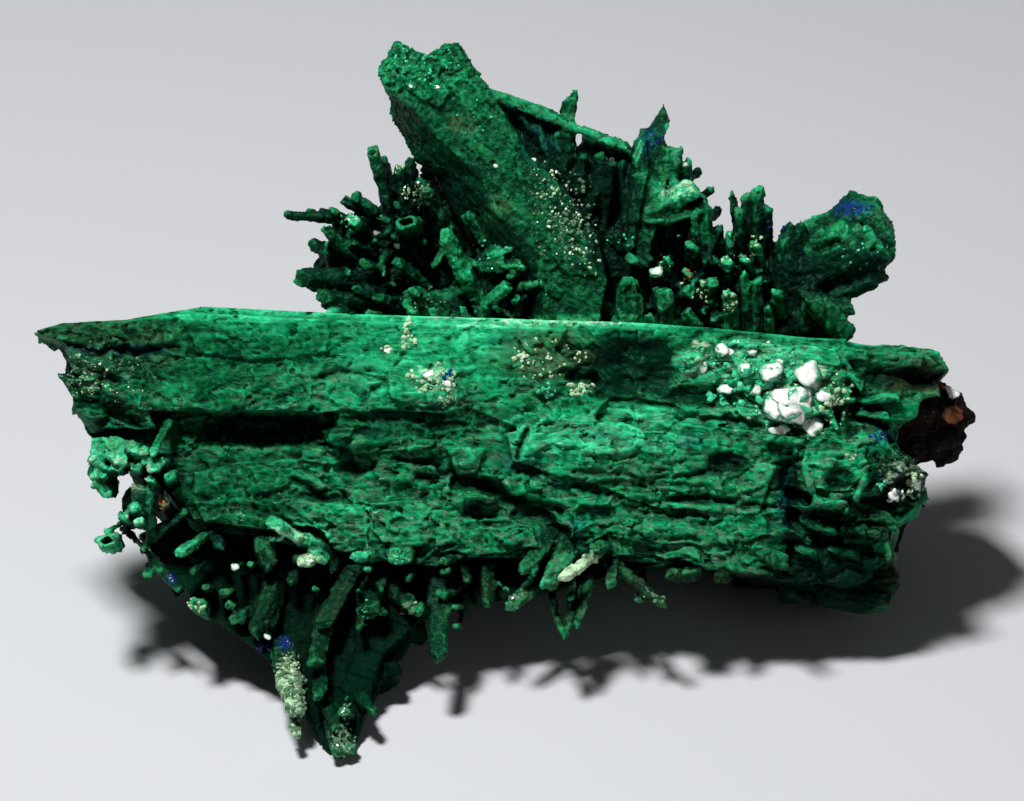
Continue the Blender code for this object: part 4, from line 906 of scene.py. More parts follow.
# %% Hanging crystals
TONGUE_FRONT, TONGUE_SLOPE, SLAB_FRONT = 0.6, 0.7, 13.4
FOOT_INSIDE = 2.6
HANGING = [  # pixels of the foot and of the tip, width in pixels, tone, how far the tip stands out
    (108, 454, 98, 443, 20, 0.66, 4.2), (122, 456, 114, 442, 22, 0.72, 4.6),
    (134, 460, 131, 444, 18, 0.62, 4), (106, 468, 93, 459, 17, 0.7, 4.4, "chisel"),
    (108, 482, 95, 474, 15, 0.66, 4), (112, 494, 100, 489, 14, 0.72, 3.8, "chisel"),
    (140, 480, 136, 466, 15, 0.6, 3.6), (142, 500, 136, 486, 16, 0.62, 3.2),
    (140, 520, 133, 506, 17, 0.6, 3.2, "chisel"), (132, 524, 122, 517, 13, 0.62, 3.4),
    (164, 472, 156, 462, 19, 0.6, 4), (152, 470, 147, 460, 14, 0.5, 3.6),
    (116, 466, 110, 462, 31, 0.62, 5, "hollow"), (102, 456, 98, 451, 17, 0.62, 4.5),
    (122, 452, 118, 447, 18, 0.62, 4.5), (108, 478, 101, 474, 16, 0.6, 4.5),
    (100, 464, 95, 462, 13, 0.66, 4.5), (146, 482, 134, 447, 16, 0.6, 4), (144, 458, 142, 450, 15, 0.62, 4),
    (110, 482, 96, 485, 14, 0.66, 4), (114, 486, 105, 495, 13, 0.66, 4),
    (160, 474, 153, 467, 16, 0.62, 4.5, "hollow"), (175, 410, 151, 456, 9, 0.5, 4.6, "chisel"),
    (174, 482, 170, 476, 16, 0.62, 4.5, "hollow"), (160, 492, 150, 478, 12, 0.6, 4),
    (140, 524, 139, 484, 15, 0.56, 3), (151, 542, 150, 486, 12, 0.4, 2.5), (170, 510, 164, 504, 12, 0.3, 3),
    (142, 512, 106, 532, 8, 0.56, 3), (112, 544, 107, 540, 23, 0.66, 5, "hollow"),
    (143, 524, 138, 521, 12, 0.62, 4), (158, 534, 187, 510, 12, 0.42, 2.5),
    (122, 527, 146, 550, 8, 0.36, 2), (144, 548, 162, 573, 9, 0.36, 2), (154, 562, 147, 577, 12, 0.55, 3),
    (158, 568, 182, 592, 10, 0.3, 2), (203, 609, 197, 604, 21, 0.78, 4, "hollow"),
    (206, 536, 177, 555, 14, 0.56, 3.5), (216, 535, 223, 549, 15, 0.3, 2, "chisel"),
    (239, 566, 235, 567, 10, 0.95, 4), (211, 591, 206, 586, 11, 0.6, 3.5),
    (227, 595, 223, 592, 14, 0.6, 3.5, "hollow"), (246, 611, 236, 620, 20, 0.6, 3.5),
    (236, 606, 230, 606, 12, 0.66, 3.5), (270, 596, 255, 640, 26, 0.4, 3.5, "chisel"),
    (277, 600, 268, 635, 15, 0.3, 2.5, "chisel"), (272, 632, 267, 638, 8, 0.95, 4),
    (262, 536, 268, 574, 19, 0.36, 3, "chisel"), (254, 566, 249, 564, 9, 0.8, 4),
    (268, 541, 283, 538, 6, 0.8, 4), (316, 548, 270, 521, 21, 1.15, 5), (318, 556, 303, 562, 20, 1.15, 4.5),
    (328, 558, 321, 561, 13, 0.9, 4), (378, 556, 349, 557, 14, 1.1, 5, "chisel"),
    (404, 550, 399, 557, 29, 0.56, 4.5), (370, 566, 367, 570, 8, 0.95, 4.5),
    (456, 556, 443, 563, 12, 0.55, 4), (448, 570, 444, 571, 10, 0.6, 3.5),
    (346, 580, 321, 628, 20, 0.42, 5.5), (323, 620, 316, 668, 20, 0.42, 5.5),
    (317, 660, 319, 700, 14, 0.42, 5), (320, 694, 339, 731, 15, 0.4, 4),
    (334, 720, 342, 756, 23, 0.46, 2.6), (338, 735, 353, 752, 15, 0.5, 2.6),
    (323, 598, 315, 588, 9, 0.46, 4), (285, 654, 295, 717, 23, 0.66, 4.5, "chisel"),
    (285, 660, 288, 702, 18, 0.66, 4.5, "chisel"), (294, 710, 297, 737, 11, 0.76, 3.5),
    (372, 592, 366, 616, 27, 0.56, 4.5), (366, 606, 358, 588, 9, 0.56, 5, "point"),
    (374, 604, 383, 587, 9, 0.6, 5, "point"), (362, 608, 358, 631, 9, 0.5, 4.5, "point"),
    (378, 610, 384, 613, 12, 0.5, 4), (398, 598, 424, 612, 16, 0.66, 4.5), (452, 588, 440, 596, 15, 0.6, 4),
    (438, 602, 438, 664, 21, 0.34, 4.5, "chisel"), (460, 606, 455, 607, 7, 0.6, 3.5),
    (458, 626, 454, 626, 8, 0.6, 3.5), (486, 574, 488, 609, 14, 0.46, 3.5, "chisel"),
    (496, 581, 509, 592, 4, 0.8, 4), (529, 588, 510, 609, 17, 0.62, 4.5),
    (541, 545, 520, 575, 17, 0.52, 4, "chisel"), (531, 552, 535, 577, 13, 0.46, 3.5, "chisel"),
    (563, 554, 547, 590, 21, 0.6, 4.5), (598, 552, 562, 580, 15, 1.7, 5.5),
    (605, 546, 592, 548, 13, 0.72, 4), (571, 583, 570, 600, 10, 0.6, 3.5),
    (573, 604, 563, 642, 12, 0.46, 3.5, "point"), (556, 612, 562, 632, 8, 0.46, 3.5, "point"),
    (585, 598, 576, 631, 9, 0.84, 4, "point"), (612, 566, 611, 587, 13, 0.46, 3.5),
    (629, 577, 668, 608, 15, 0.52, 4.5, "chisel"), (642, 596, 637, 601, 10, 0.5, 3.5),
    (676, 575, 672, 578, 18, 0.6, 3.5), (692, 573, 689, 577, 19, 0.6, 3.5),
    (724, 575, 720, 579, 18, 0.6, 3.5), (758, 549, 789, 568, 16, 0.6, 4.5, "chisel"),
    (346, 724, 347, 693, 8, 0.62, 4, "point"), (350, 716, 344, 712, 14, 0.62, 3.5),
    (361, 699, 374, 714, 15, 0.36, 3.5, "chisel"), (412, 570, 407, 580, 12, 0.36, 3, "chisel"),
    (464, 566, 466, 584, 11, 0.3, 3, "chisel"), (336, 560, 330, 574, 12, 0.34, 3, "chisel"),
    (296, 566, 290, 586, 12, 0.24, 2.5, "chisel"), (202, 562, 192, 574, 12, 0.28, 2.5, "chisel"),
]


def hang(x, y, depth):
    """The place of a hanging crystal's foot or tip, some way behind or before what carries it."""
    up = seen(x, y)[1]
    return through(x, y, min(TONGUE_FRONT + TONGUE_SLOPE * up, SLAB_FRONT) + depth)


def with_end(lines):
    """Each crystal's numbers, and its kind of end."""
    for line in lines:
        yield (line[:-1], line[-1]) if isinstance(line[-1], str) else (line, "blunt")


steady = random.Random(5)
placed = {"upper_left": [], "upper_right": [], "hanging": [], "roots": []}
for name, lines in (("upper_left", UPPER_LEFT), ("upper_right", UPPER_RIGHT)):
    for (*ends, width, tone), end in with_end(lines):
        foot, tip = through(*ends[:3]), through(*ends[3:])
        placed[name].append((foot, tip, width / PIXELS_A_MM, end, tone, steady.uniform(-0.5, 0.5)))
for (x, y, tip_x, tip_y, width, tone, out), end in with_end(HANGING):
    inward = min(FOOT_INSIDE / out, 0.55) if x > 200 else 0.0
    inside_x, inside_y = x - (tip_x - x) * inward, y - (tip_y - y) * inward
    foot, tip = hang(inside_x, inside_y, FOOT_INSIDE), hang(tip_x, tip_y, -out)
    tone = 0.8 * tone + (0.04 if x < 200 else -0.1)
    placed["hanging"].append((foot, tip, width / PIXELS_A_MM, end, tone, steady.uniform(-0.5, 0.5)))
    # Dark roots join these feet to the core behind; their low tone is painted shade.
    if x > 395 and inside_y > 552:
        inner = through(inside_x + 0.1 * (560 - x), 540, 22.0)
        placed["roots"].append((inner, foot, 1.1 * width / PIXELS_A_MM, "blunt", -0.6, 0.0))
print("crystals placed by eye:", {name: len(crystals) for name, crystals in placed.items()})

# %% [markdown]
# ## Small crystals across the others
# Between the larger crystals lie many small ones, too tangled to be told apart. They cross the
# others in every direction. Each line gives the middle of a tangle and its half widths in pixels,
# its depth in millimetres, and how many crystals lie in it.

# %% Tangles
TANGLES = [
    (380, 250, 62, 46, 27, 26, "upper_left"), (425, 205, 24, 40, 27.5, 8, "upper_left"),
    (490, 285, 44, 30, 23.5, 10, "upper_left"), (705, 285, 84, 40, 25, 26, "upper_right"),
    (690, 210, 40, 40, 28, 8, "upper_right"), (550, 160, 26, 26, 28.4, 8, "upper_right"),
]
for x, y, half_wide, half_high, depth, count, name in TANGLES:
    for _ in range(count):
        turn, out = steady.uniform(0, 2 * math.pi), steady.random() ** 0.5
        x_here, y_here = x + half_wide * out * math.cos(turn), y + half_high * out * math.sin(turn)
        turn, half = steady.uniform(0, 2 * math.pi), steady.uniform(7, 16)
        along_x, along_y = half * math.cos(turn), half * math.sin(turn)
        foot = through(x_here - along_x, y_here - along_y, depth + steady.uniform(2.5, 4.0))
        tip = through(x_here + along_x, y_here + along_y, depth - steady.uniform(-1.0, 2.0))
        end, tone = steady.choice(["blunt", "chisel", "point"]), steady.uniform(-0.1, 0.75)
        width, roll = steady.uniform(7, 12) / PIXELS_A_MM, steady.uniform(0, 3)
        placed[name].append((foot, tip, width, end, tone, roll))
print("with the tangles:", {name: len(crystals) for name, crystals in placed.items()})

# %% [markdown]
# ## Crystals that follow a rule
# The spray behind and below is too crowded to place by hand, and most of it isn't in the picture.
# It grows out of a few cores. Blocky crystals cross at each core, and smaller ones stand out of
# it in all directions, spread by the golden angle. None rises above the skyline, and none of the
# smaller ones ends below the ground.

# %% Cores and the crystals on them
CORES = [  # middle, half sizes, number of blocky crystals, number of smaller ones
    ((8.0, 55.0, 36.0), (31.0, 10.0, 12.0), 12, 34),
    ((1.0, 36.0, 44.0), (44.0, 18.5, 19.0), 28, 92),
    ((-34.0, 34.5, 27.5), (12.5, 10.5, 9.0), 8, 18),
    ((28.0, 47.0, 32.0), (18.0, 11.0, 11.0), 8, 18),
    ((-16.0, 62.0, 34.0), (9.0, 8.5, 6.5), 6, 12),
    ((17.0, 66.0, 34.5), (11.0, 10.0, 5.5), 6, 12),
    ((34.0, 60.0, 33.5), (9.0, 8.0, 6.0), 6, 10),
]
SKYLINE = [
    (-60, 50), (-30, 55), (-25, 66), (-14, 74), (-8, 76), (3, 74), (8, 79), (17, 79), (27, 71), (33, 71),
    (39, 67), (42, 58), (45, 50), (60, 46),
]
GOLDEN_ANGLE = math.pi * (3 - math.sqrt(5))


def spread_directions(count):
    """Directions spread evenly over a sphere, by the golden angle."""
    for i in range(count):
        rise = 1 - 2 * (i + 0.5) / count
        ring = math.sqrt(1 - rise * rise)
        yield Vector((ring * math.cos(i * GOLDEN_ANGLE), ring * math.sin(i * GOLDEN_ANGLE), rise))


def below_skyline(point):
    """Whether a point stays below the top of the spray."""
    return point[1] < np.interp(point[0], *zip(*SKYLINE))


def along_core(core, direction, share):
    """A point on the way from a core's middle to its surface."""
    return [core[0][i] + share * direction[i] * core[1][i] for i in range(3)]


DRAWN_BEFORE = 108
chance = random.Random(11)
for _ in range(DRAWN_BEFORE):  # the solid model has drawn these for its own crystals by now
    chance.random()
for number, core in enumerate(CORES):
    for direction in spread_directions(core[2]):
        width, reach = chance.uniform(0.7, 1.1) * min(core[1]), chance.uniform(0.92, 1.12)
        roll = chance.uniform(0, math.pi)
        foot, tip = along_core(core, direction, -0.2), along_core(core, direction, reach)
        if direction.z > -0.2 and below_skyline(tip):
            placed.setdefault(f"core_{number}", []).append((foot, tip, width, "blunt", 0.3, roll))
for number, core in enumerate(CORES):
    for direction in spread_directions(core[3]):
        aim = (direction + Vector([chance.uniform(-0.3, 0.3) for _ in range(3)])).normalized()
        length, width = chance.uniform(4.0, 9.0), chance.uniform(2.4, 6.0)
        end = chance.choice(["chisel", "blunt", "blunt", "point"])
        roll = chance.uniform(0, math.pi)
        foot, surface = along_core(core, direction, 0.6), along_core(core, direction, 1.0)
        tip = [surface[i] + aim[i] * length for i in range(3)]
        if below_skyline(tip) and direction.z >= 0.1 and face_point(*tip).z >= 1.5 * MM:
            placed[f"core_{number}"].append((foot, tip, width, end, 0.45, roll))
for i in range(34):  # a thin crust of small ones on the long crystal's back
    across, up = chance.uniform(-51, -16), chance.uniform(34, 53)
    lean, rise = chance.uniform(-4.5, 4.5), chance.uniform(-3.5, 3.5)
    tip = (across + lean, min(up + rise, 54), 27.2 + chance.uniform(0.6, 3.0))
    width, roll = chance.uniform(1.6, 3.4), chance.uniform(0, math.pi)
    placed["core_3"].append(((across, up, 24.5), tip, width, chance.choice(["blunt", "chisel"]), 0.4, roll))
# A keel under the front tip; its low tone is painted shade under the long crystal.
placed["keel"] = []
for i in range(16):
    along = i / 15
    across = -20.6 + 4.6 * along + (1 if i % 2 else -1) * along * 9.0
    up = 3.0 + 24.0 * along
    back = 0.6 + 0.7 * up
    reach = 5.5 + chance.uniform(3.0, 6.0)
    tip = (across + chance.uniform(-3, 3), up - 1.5, back + reach)
    width, roll = chance.uniform(3.0, 5.0), chance.uniform(0, 3.1)
    placed["keel"].append(((across, up, back + 2.2), tip, width, "blunt", -0.6, roll))
print("with those that follow the rule:", {name: len(crystals) for name, crystals in placed.items()})

# %% [markdown]
# ## The rough middle of a core
# Behind the gaps between crystals there is more of the same mineral, and no hole. A lump fills
# each core: a round ball, pushed in and out by noise and stretched to the core's sizes.

# %% Make a lump
def add_lump(centre, half_sizes, roughness=0.3, share=1.0, detail=4):
    """One rough lump, stretched to its half sizes."""
    bpy.ops.mesh.primitive_ico_sphere_add(subdivisions=detail, radius=1.0)
    lump = bpy.context.object
    for vert in lump.data.vertices:
        direction = vert.co.normalized()
        bump = share * (1.0 + roughness * noise.noise(direction * 2.3 + Vector(centre)))
        vert.co = face_point(*[centre[i] + direction[i] * half_sizes[i] * bump for i in range(3)])
    face_outward()
    return lump


# %% [markdown]
# ## Where a point lies on its crystal
# After the crystals are fused, each point is asked which crystal it belongs to. The answer gives
# the crystal's tone, how near the point is to the crystal's end, and its place along the
# crystal's own axis. A finish can then draw fine streaks along every crystal.

# %% Tone, end and growth at each point
def crystal_places(places, crystals, ground_tone):
    """For each point: tone and end of the crystal it lies on, and its place on that crystal."""
    best = np.full(len(places), 1.4)
    tone, end = np.full(len(places), ground_tone), np.zeros(len(places))
    growth = places.copy()
    for number, (foot, tip, width, _, shade, _) in enumerate(crystals):
        start, finish = np.array(face_point(*foot)) / MM, np.array(face_point(*tip)) / MM
        length = np.linalg.norm(finish - start)
        axis = (finish - start) / length
        near = np.flatnonzero(np.linalg.norm(places - (start + finish) / 2, axis=1) < length / 2 + width)
        offset = places[near] - start
        along = offset @ axis
        side = offset - along[:, None] * axis
        past = np.maximum(along - length, 0) + np.maximum(-along, 0)
        score = np.hypot(np.linalg.norm(side, axis=1), past) / width
        closer = score < best[near]
        chosen = near[closer]
        best[chosen] = score[closer]
        tone[chosen] = shade
        end[chosen] = ease(1.6, 0.1, length - along[closer])
        growth[chosen] = side[closer] + axis * 0.12 * along[closer][:, None] + 7.3 * number
    return tone, end, growth


# %% [markdown]
# ## Fuse each group of crystals
# The small crystals make six pieces, so that none of them is too heavy. Each is fused with squares
# fine enough for its place: the ones in view finer than the ones at the back. Then they crumble a
# little, and the flat break underneath is cut. The big prism at the right and the front tip have
# their own outlines, so they start as plates.

# %% Upper, hanging and back groups
TONGUE = [
    (-47, 28.4), (-38.6, 18.9), (-29.4, 12.4), (-22.4, 1.6), (-20.6, 0), (-18.6, 1.4), (-17.2, 7),
    (-15, 13), (-9.5, 18.4), (12, 22.6), (22, 25.5), (7.4, 29.4), (-38.7, 33.4),
]
UPPER_PLATES = [  # front and back in millimetres, and an outline in pixels
    (27, 30.5, [(664, 113), (669, 126), (663, 142), (671, 166), (662, 204), (650, 256), (627, 256),
                (622, 222), (629, 182), (634, 152), (641, 138), (649, 136), (657, 126)]),
    (26.2, 29, [(642, 142), (647, 140), (649, 170), (640, 214), (634, 250), (626, 250), (630, 200),
                (636, 160)]),
    # the chunky prism at the right, and the webs of crystal under the thin rod
    (27.6, 33, [(792, 272), (798, 256), (806, 236), (827, 227), (853, 206), (879, 213), (886, 224),
                (896, 241), (897, 259), (881, 274), (858, 284), (830, 281), (806, 300)]),
    (28.6, 31.5, [(494, 98), (535, 111), (567, 124), (567, 150), (566, 180), (556, 206), (544, 190),
                  (520, 150)]),
    (28.8, 31.5, [(582, 149), (583, 132), (630, 150), (642, 172), (620, 180), (596, 190), (575, 182),
                  (568, 158)]),
]
GRAINS_FINE = [(2.4, 0.36), (1.2, 0.24), (0.6, 0.14)]
GRAINS_COARSE = [(2.6, 0.4), (1.2, 0.3), (0.8, 0.2)]


def grow_group(name, sets, cores, square_mm, grains, plates=(), ground_tone=0.0):
    """Fuses crystals, their ribs and the lumps of their cores into one rough piece."""
    crystals = [crystal for each in sets for crystal in placed[each]]
    draw = random.Random(len(crystals))
    parts = [part for crystal in crystals for part in with_ribs(crystal, draw)] + list(plates)
    parts += [add_lump(CORES[n][0], CORES[n][1], share=0.8) for n in cores]
    piece = join_all(parts, name)
    fuse(piece, square_mm)
    places, _ = points_of(piece)
    tone, end, growth = crystal_places(places, crystals, ground_tone)
    keep(piece, tone=tone, crystal_end=end, ragged=0.75, growth=growth)
    crumble(piece, grains)
    rest_flat(piece)
    return piece


spear = [add_plate([through(*p, front)[:2] for p in outline], front, back, slant=-0.4, taper=0.1)
         for front, back, outline in UPPER_PLATES]
tongue = add_plate(TONGUE, TONGUE_FRONT, TONGUE_FRONT + 5.5, slope=TONGUE_SLOPE)
GROUPS = {  # sets of crystals, cores, size of the squares, grains, plates that join in, tone between
    "upper_left_crystals": (["upper_left", "core_4"], [4], 0.22, GRAINS_FINE),
    "upper_right_crystals": (["upper_right", "core_5", "core_6"], [5, 6], 0.28, GRAINS_FINE, spear, 0.24),
    "hanging_crystals": (["hanging"], [], 0.24, GRAINS_FINE),
    # The under crystals' low tone, here and in their crystals, is painted shade.
    "under_crystals": (["keel", "core_2", "roots"], [2], 0.36, GRAINS_FINE, [tongue], -0.6),
    "back_crystals": (["core_1"], [1], 0.45, GRAINS_COARSE, [], 0.3),
    "back_upper_crystals": (["core_0", "core_3"], [0, 3], 0.4, GRAINS_COARSE, [], 0.2),
}
groups = [grow_group(name, *how) for name, how in GROUPS.items()]

for piece in (long_crystal, leaning_crystal):
    across, up, back = face_places(points_of(piece)[0]).T
    turned = [0.12 * across, up, back]
    if piece is leaning_crystal:
        turned = [0.63 * across + 0.78 * up, 0.12 * (0.78 * up - 0.63 * across), back]
    keep(piece, growth=np.stack(turned, axis=1), tone=0.5, crystal_end=0)

# %% [markdown]
# ## The host rock
# The brown rock at the right end is a lump behind the crystals and a rounded nose beside them.

# %% Rock
ROCK_LUMPS = [
    ((39.5, 33.5, 41.0), (13.5, 14.0, 13.0)),
    ((51.5, 43.6, 29.5), (8.8, 6.2, 9.5)),
]
rock = join_all([add_lump(centre, sizes) for centre, sizes in ROCK_LUMPS], "host_rock")
fuse(rock, 0.4)
crumble(rock, [(4.0, 0.9), (1.7, 0.6), (0.8, 0.3)])
rest_flat(rock)

# %% [markdown]
# ## How crowded it is
# Where crystals stand close together, the colour is darkened as painted shade. Free edges are
# painted paler, partly their own colour and partly a painted highlight, and grooves are painted
# darker as shade. The points of all pieces are counted in small boxes, and the counts are spread
# to the boxes around. Many points around a place mean a deep hollow there.

# %% Painted shade in crowded hollows, and pale edges
BOX_MM = 0.6
pieces = [long_crystal, leaning_crystal, *groups, rock]
corner = np.min([points_of(piece)[0].min(axis=0) for piece in pieces], axis=0) - 6.0
top = np.max([points_of(piece)[0].max(axis=0) for piece in pieces], axis=0) + 6.0
span = np.ceil((top - corner) / BOX_MM).astype(int)
filled = np.zeros(span, np.float32)


def box_numbers(places):
    """The box that each point falls in."""
    return np.clip(((places - corner) / BOX_MM).astype(int), 0, span - 1)


def count_at(counts, places):
    """The counts at some places, blended between the eight boxes around each."""
    steps = np.clip((places - corner) / BOX_MM - 0.5, 0, span - 1.001)
    low = steps.astype(int)
    total = np.zeros(len(places))
    for offset, share in corner_shares(steps - low):
        total += share * counts[tuple(np.minimum(low + offset, span - 1).T)]
    return total


def spread(counts, reach):
    """Averages over a cube of boxes, along one side after the other."""
    for side in range(3):
        first = np.zeros_like(counts.take([0], side))
        padded = np.concatenate([first, np.cumsum(counts, axis=side)], axis=side)
        last = counts.shape[side]
        high = np.minimum(np.arange(last) + reach + 1, last)
        low = np.maximum(np.arange(last) - reach, 0)
        counts = (padded.take(high, side) - padded.take(low, side)) / (2 * reach + 1)
    return counts


def standing_out(piece, rounds=3):
    """How far each point stands out of those around it: above 0 on edges, below 0 in grooves."""
    places, directions = points_of(piece)
    ends = np.empty(2 * len(piece.data.edges), np.int32)
    piece.data.edges.foreach_get("vertices", ends)
    ends = ends.reshape(-1, 2)
    count = np.maximum(np.bincount(ends.ravel(), minlength=len(places)), 1)
    mean = places
    for _ in range(rounds):
        sums = [
            np.bincount(ends[:, 0], mean[ends[:, 1], side], len(places))
            + np.bincount(ends[:, 1], mean[ends[:, 0], side], len(places)) for side in range(3)
        ]
        mean = np.stack(sums, axis=1) / count[:, None]
    return ((places - mean) * directions).sum(axis=1)


# Painted highlights and painted shade on one piece only: bright spots on the upper crystals, and shade on
# the leaning crystal's side and foot, under the prism, and under the long crystal.
PIECE_SHADES = {  # lighter and darker patches of one piece only
    "leaning_crystal": [(500, 268, 34, 46, -0.9), (440, 150, 20, 60, -0.25), (470, 200, 22, 40, -0.4)],
    "under_crystals": [(350, 665, 100, 90, -0.9), (620, 590, 190, 36, -0.7)],
    "upper_left_crystals": [
        (512, 246, 24, 12, 0.8), (526, 273, 28, 10, 0.8), (430, 213, 10, 10, 0.8), (381, 208, 8, 6, 0.6),
        (456, 258, 22, 34, 0.4), (505, 292, 20, 12, 0.5), (352, 219, 10, 9, 0.5), (330, 285, 34, 24, -0.2),
    ],
    "upper_right_crystals": [
        (632, 240, 10, 7, 0.8), (732, 240, 10, 14, 0.5), (672, 184, 24, 12, 0.4), (840, 232, 24, 10, 0.35),
        (864, 276, 30, 10, -0.6), (800, 300, 16, 16, 0.3), (700, 280, 60, 16, 0.15),
        (570, 178, 30, 26, -0.4),
    ],
}
for piece in pieces:
    filled[tuple(box_numbers(points_of(piece)[0]).T)] = 1.0
close_by, wider = spread(filled, 2), spread(filled, 7)
for piece in pieces:
    places, directions = points_of(piece)
    ahead = count_at(close_by, places + 1.7 * directions)
    further = count_at(wider, places + 4.5 * directions)
    # Painted shade: the colour is darkened where many points crowd around a place, and free edges are
    # painted paler and grooves darker.
    keep(piece, crevice=2.2 * ahead + 2.5 * further, edge=standing_out(piece))
    face = face_places(places)
    # Tone patches, with painted light and shade among them.
    keep(piece, light=patch_sum(face, LIGHT_PATCHES + PIECE_SHADES.get(piece.name, [])))
    for name, patches in (("pale", PALE_PATCHES), ("blue", BLUE_PATCHES), ("brown", BROWN_PATCHES)):
        keep(piece, **{name: patch_strength(face, patches)})
print("boxes:", tuple(span), "filled:", int(filled.sum()))

# %% [markdown]
# ## Druse
# Crusts of tiny crystals sparkle on many faces: cream and white ones, mint ones, and a few grains
# of blue azurite and orange stain. One tiny crystal is modelled, a cube with its corners cut. Each
# patch is given by its middle and half widths in pixels, the number of crystals, their smallest
# and largest size in millimetres, and their colour. A ray from the camera finds the face that
# carries each crystal, so it sits on what is really there.

# %% Druse crystals
DRUSE_COLOURS = {"cream": 0.08, "white": 0.25, "mint": 0.42, "blue": 0.58, "orange": 0.75, "sage": 0.92}
# The white crystals at the right of the face stand partly for glare, a painted highlight.
DRUSE = [
    (87, 375, 24, 26, 26, 0.15, 0.32, "cream"), (120, 395, 30, 12, 10, 0.15, 0.3, "cream"),
    (100, 370, 40, 30, 40, 0.2, 0.4, "sage"), (387, 350, 8, 4, 9, 0.25, 0.5, "cream"),
    (407, 341, 8, 7, 9, 0.25, 0.6, "cream"), (432, 378, 26, 15, 46, 0.2, 0.6, "cream"),
    (449, 401, 14, 8, 16, 0.2, 0.5, "cream"), (408, 330, 4, 14, 9, 0.3, 0.6, "cream"),
    (447, 374, 9, 6, 8, 0.3, 0.6, "blue"), (545, 358, 42, 22, 46, 0.2, 0.45, "cream"),
    (521, 355, 8, 6, 14, 0.3, 0.6, "cream"), (580, 389, 16, 7, 26, 0.3, 0.65, "cream"),
    (547, 390, 12, 7, 14, 0.3, 0.6, "mint"), (800, 398, 34, 30, 30, 0.15, 0.5, "white"),
    (760, 362, 50, 20, 14, 0.15, 0.5, "white"), (765, 385, 60, 34, 70, 0.3, 1.2, "mint"),
    (830, 396, 16, 14, 20, 0.3, 0.8, "cream"), (740, 360, 60, 22, 60, 0.2, 0.5, "mint"),
    (800, 400, 60, 40, 70, 0.2, 0.5, "cream"), (956, 415, 10, 9, 8, 0.2, 0.5, "orange"),
    (914, 486, 14, 14, 34, 0.2, 0.8, "cream"), (895, 496, 9, 6, 12, 0.3, 0.9, "white"),
    (905, 462, 22, 12, 16, 0.15, 0.5, "sage"), (882, 484, 4, 4, 5, 0.3, 0.7, "mint"),
    (850, 456, 7, 5, 8, 0.2, 0.5, "cream"), (883, 436, 13, 9, 20, 0.2, 0.5, "blue"),
    (545, 180, 16, 20, 18, 0.16, 0.42, "cream"), (562, 207, 24, 22, 24, 0.16, 0.42, "cream"),
    (575, 234, 24, 22, 24, 0.16, 0.42, "cream"), (588, 258, 16, 22, 16, 0.16, 0.4, "cream"),
    (565, 220, 34, 50, 110, 0.2, 0.55, "sage"), (425, 66, 34, 24, 60, 0.15, 0.38, "mint"),
    (400, 62, 16, 16, 12, 0.15, 0.3, "sage"), (480, 120, 30, 25, 10, 0.15, 0.3, "mint"),
    (399, 167, 6, 8, 14, 0.2, 0.5, "cream"), (417, 195, 15, 13, 36, 0.2, 0.5, "sage"),
    (410, 190, 10, 12, 10, 0.2, 0.5, "cream"), (352, 219, 8, 8, 10, 0.2, 0.4, "cream"),
    (371, 151, 9, 6, 8, 0.2, 0.4, "sage"), (340, 225, 30, 16, 10, 0.15, 0.35, "mint"),
    (490, 255, 34, 16, 16, 0.15, 0.35, "mint"), (425, 300, 26, 14, 20, 0.18, 0.35, "sage"),
    (682, 190, 18, 9, 12, 0.2, 0.5, "mint"), (730, 302, 9, 14, 20, 0.2, 0.45, "cream"),
    (755, 243, 8, 8, 9, 0.2, 0.5, "cream"), (746, 258, 9, 6, 8, 0.2, 0.5, "sage"),
    (727, 258, 9, 5, 6, 0.2, 0.45, "cream"), (660, 266, 12, 12, 8, 0.2, 0.45, "cream"),
    (620, 240, 14, 8, 8, 0.2, 0.45, "mint"), (854, 208, 16, 5, 12, 0.2, 0.45, "blue"),
    (778, 228, 8, 5, 9, 0.2, 0.5, "blue"), (690, 274, 9, 7, 6, 0.2, 0.4, "orange"),
    (700, 290, 24, 14, 16, 0.25, 0.5, "cream"), (860, 245, 28, 24, 16, 0.2, 0.4, "mint"),
    (655, 135, 8, 12, 9, 0.25, 0.5, "blue"), (292, 688, 13, 36, 80, 0.25, 0.75, "sage"),
    (292, 680, 10, 30, 26, 0.25, 0.5, "cream"), (297, 727, 8, 10, 16, 0.3, 0.6, "sage"),
    (310, 560, 9, 5, 8, 0.2, 0.4, "cream"), (197, 604, 10, 8, 12, 0.2, 0.45, "cream"),
    (265, 647, 7, 5, 10, 0.3, 0.6, "blue"), (286, 642, 7, 6, 12, 0.3, 0.6, "blue"),
    (172, 578, 4, 4, 6, 0.3, 0.6, "blue"), (344, 740, 12, 18, 30, 0.25, 0.5, "sage"),
    (345, 712, 8, 10, 14, 0.25, 0.5, "sage"), (520, 600, 11, 11, 16, 0.25, 0.5, "sage"),
    (410, 608, 12, 6, 14, 0.3, 0.6, "sage"), (655, 595, 18, 9, 16, 0.25, 0.5, "sage"),
    (164, 505, 5, 8, 8, 0.3, 0.5, "orange"), (118, 462, 26, 18, 24, 0.15, 0.35, "mint"),
    (400, 556, 13, 10, 16, 0.2, 0.4, "mint"), (366, 612, 12, 14, 8, 0.15, 0.35, "mint"),
]

bpy.ops.mesh.primitive_cube_add(size=1.0, location=(0, 0, 0))
druse_master = bpy.context.object
with edit_mode():
    for way in ((1, 1, 1), (-1, 1, 0.8), (0.9, -1, 1), (-1, -0.8, 1)):
        cut(Vector(way) * 0.27, way, clear_outer=True)

bpy.context.view_layer.update()
scene_now = bpy.context.evaluated_depsgraph_get()
carriers = [bvhtree.BVHTree.FromObject(piece, scene_now) for piece in pieces]


BEHIND_ALL = 60.0  # a depth in millimetres that lies behind the specimen


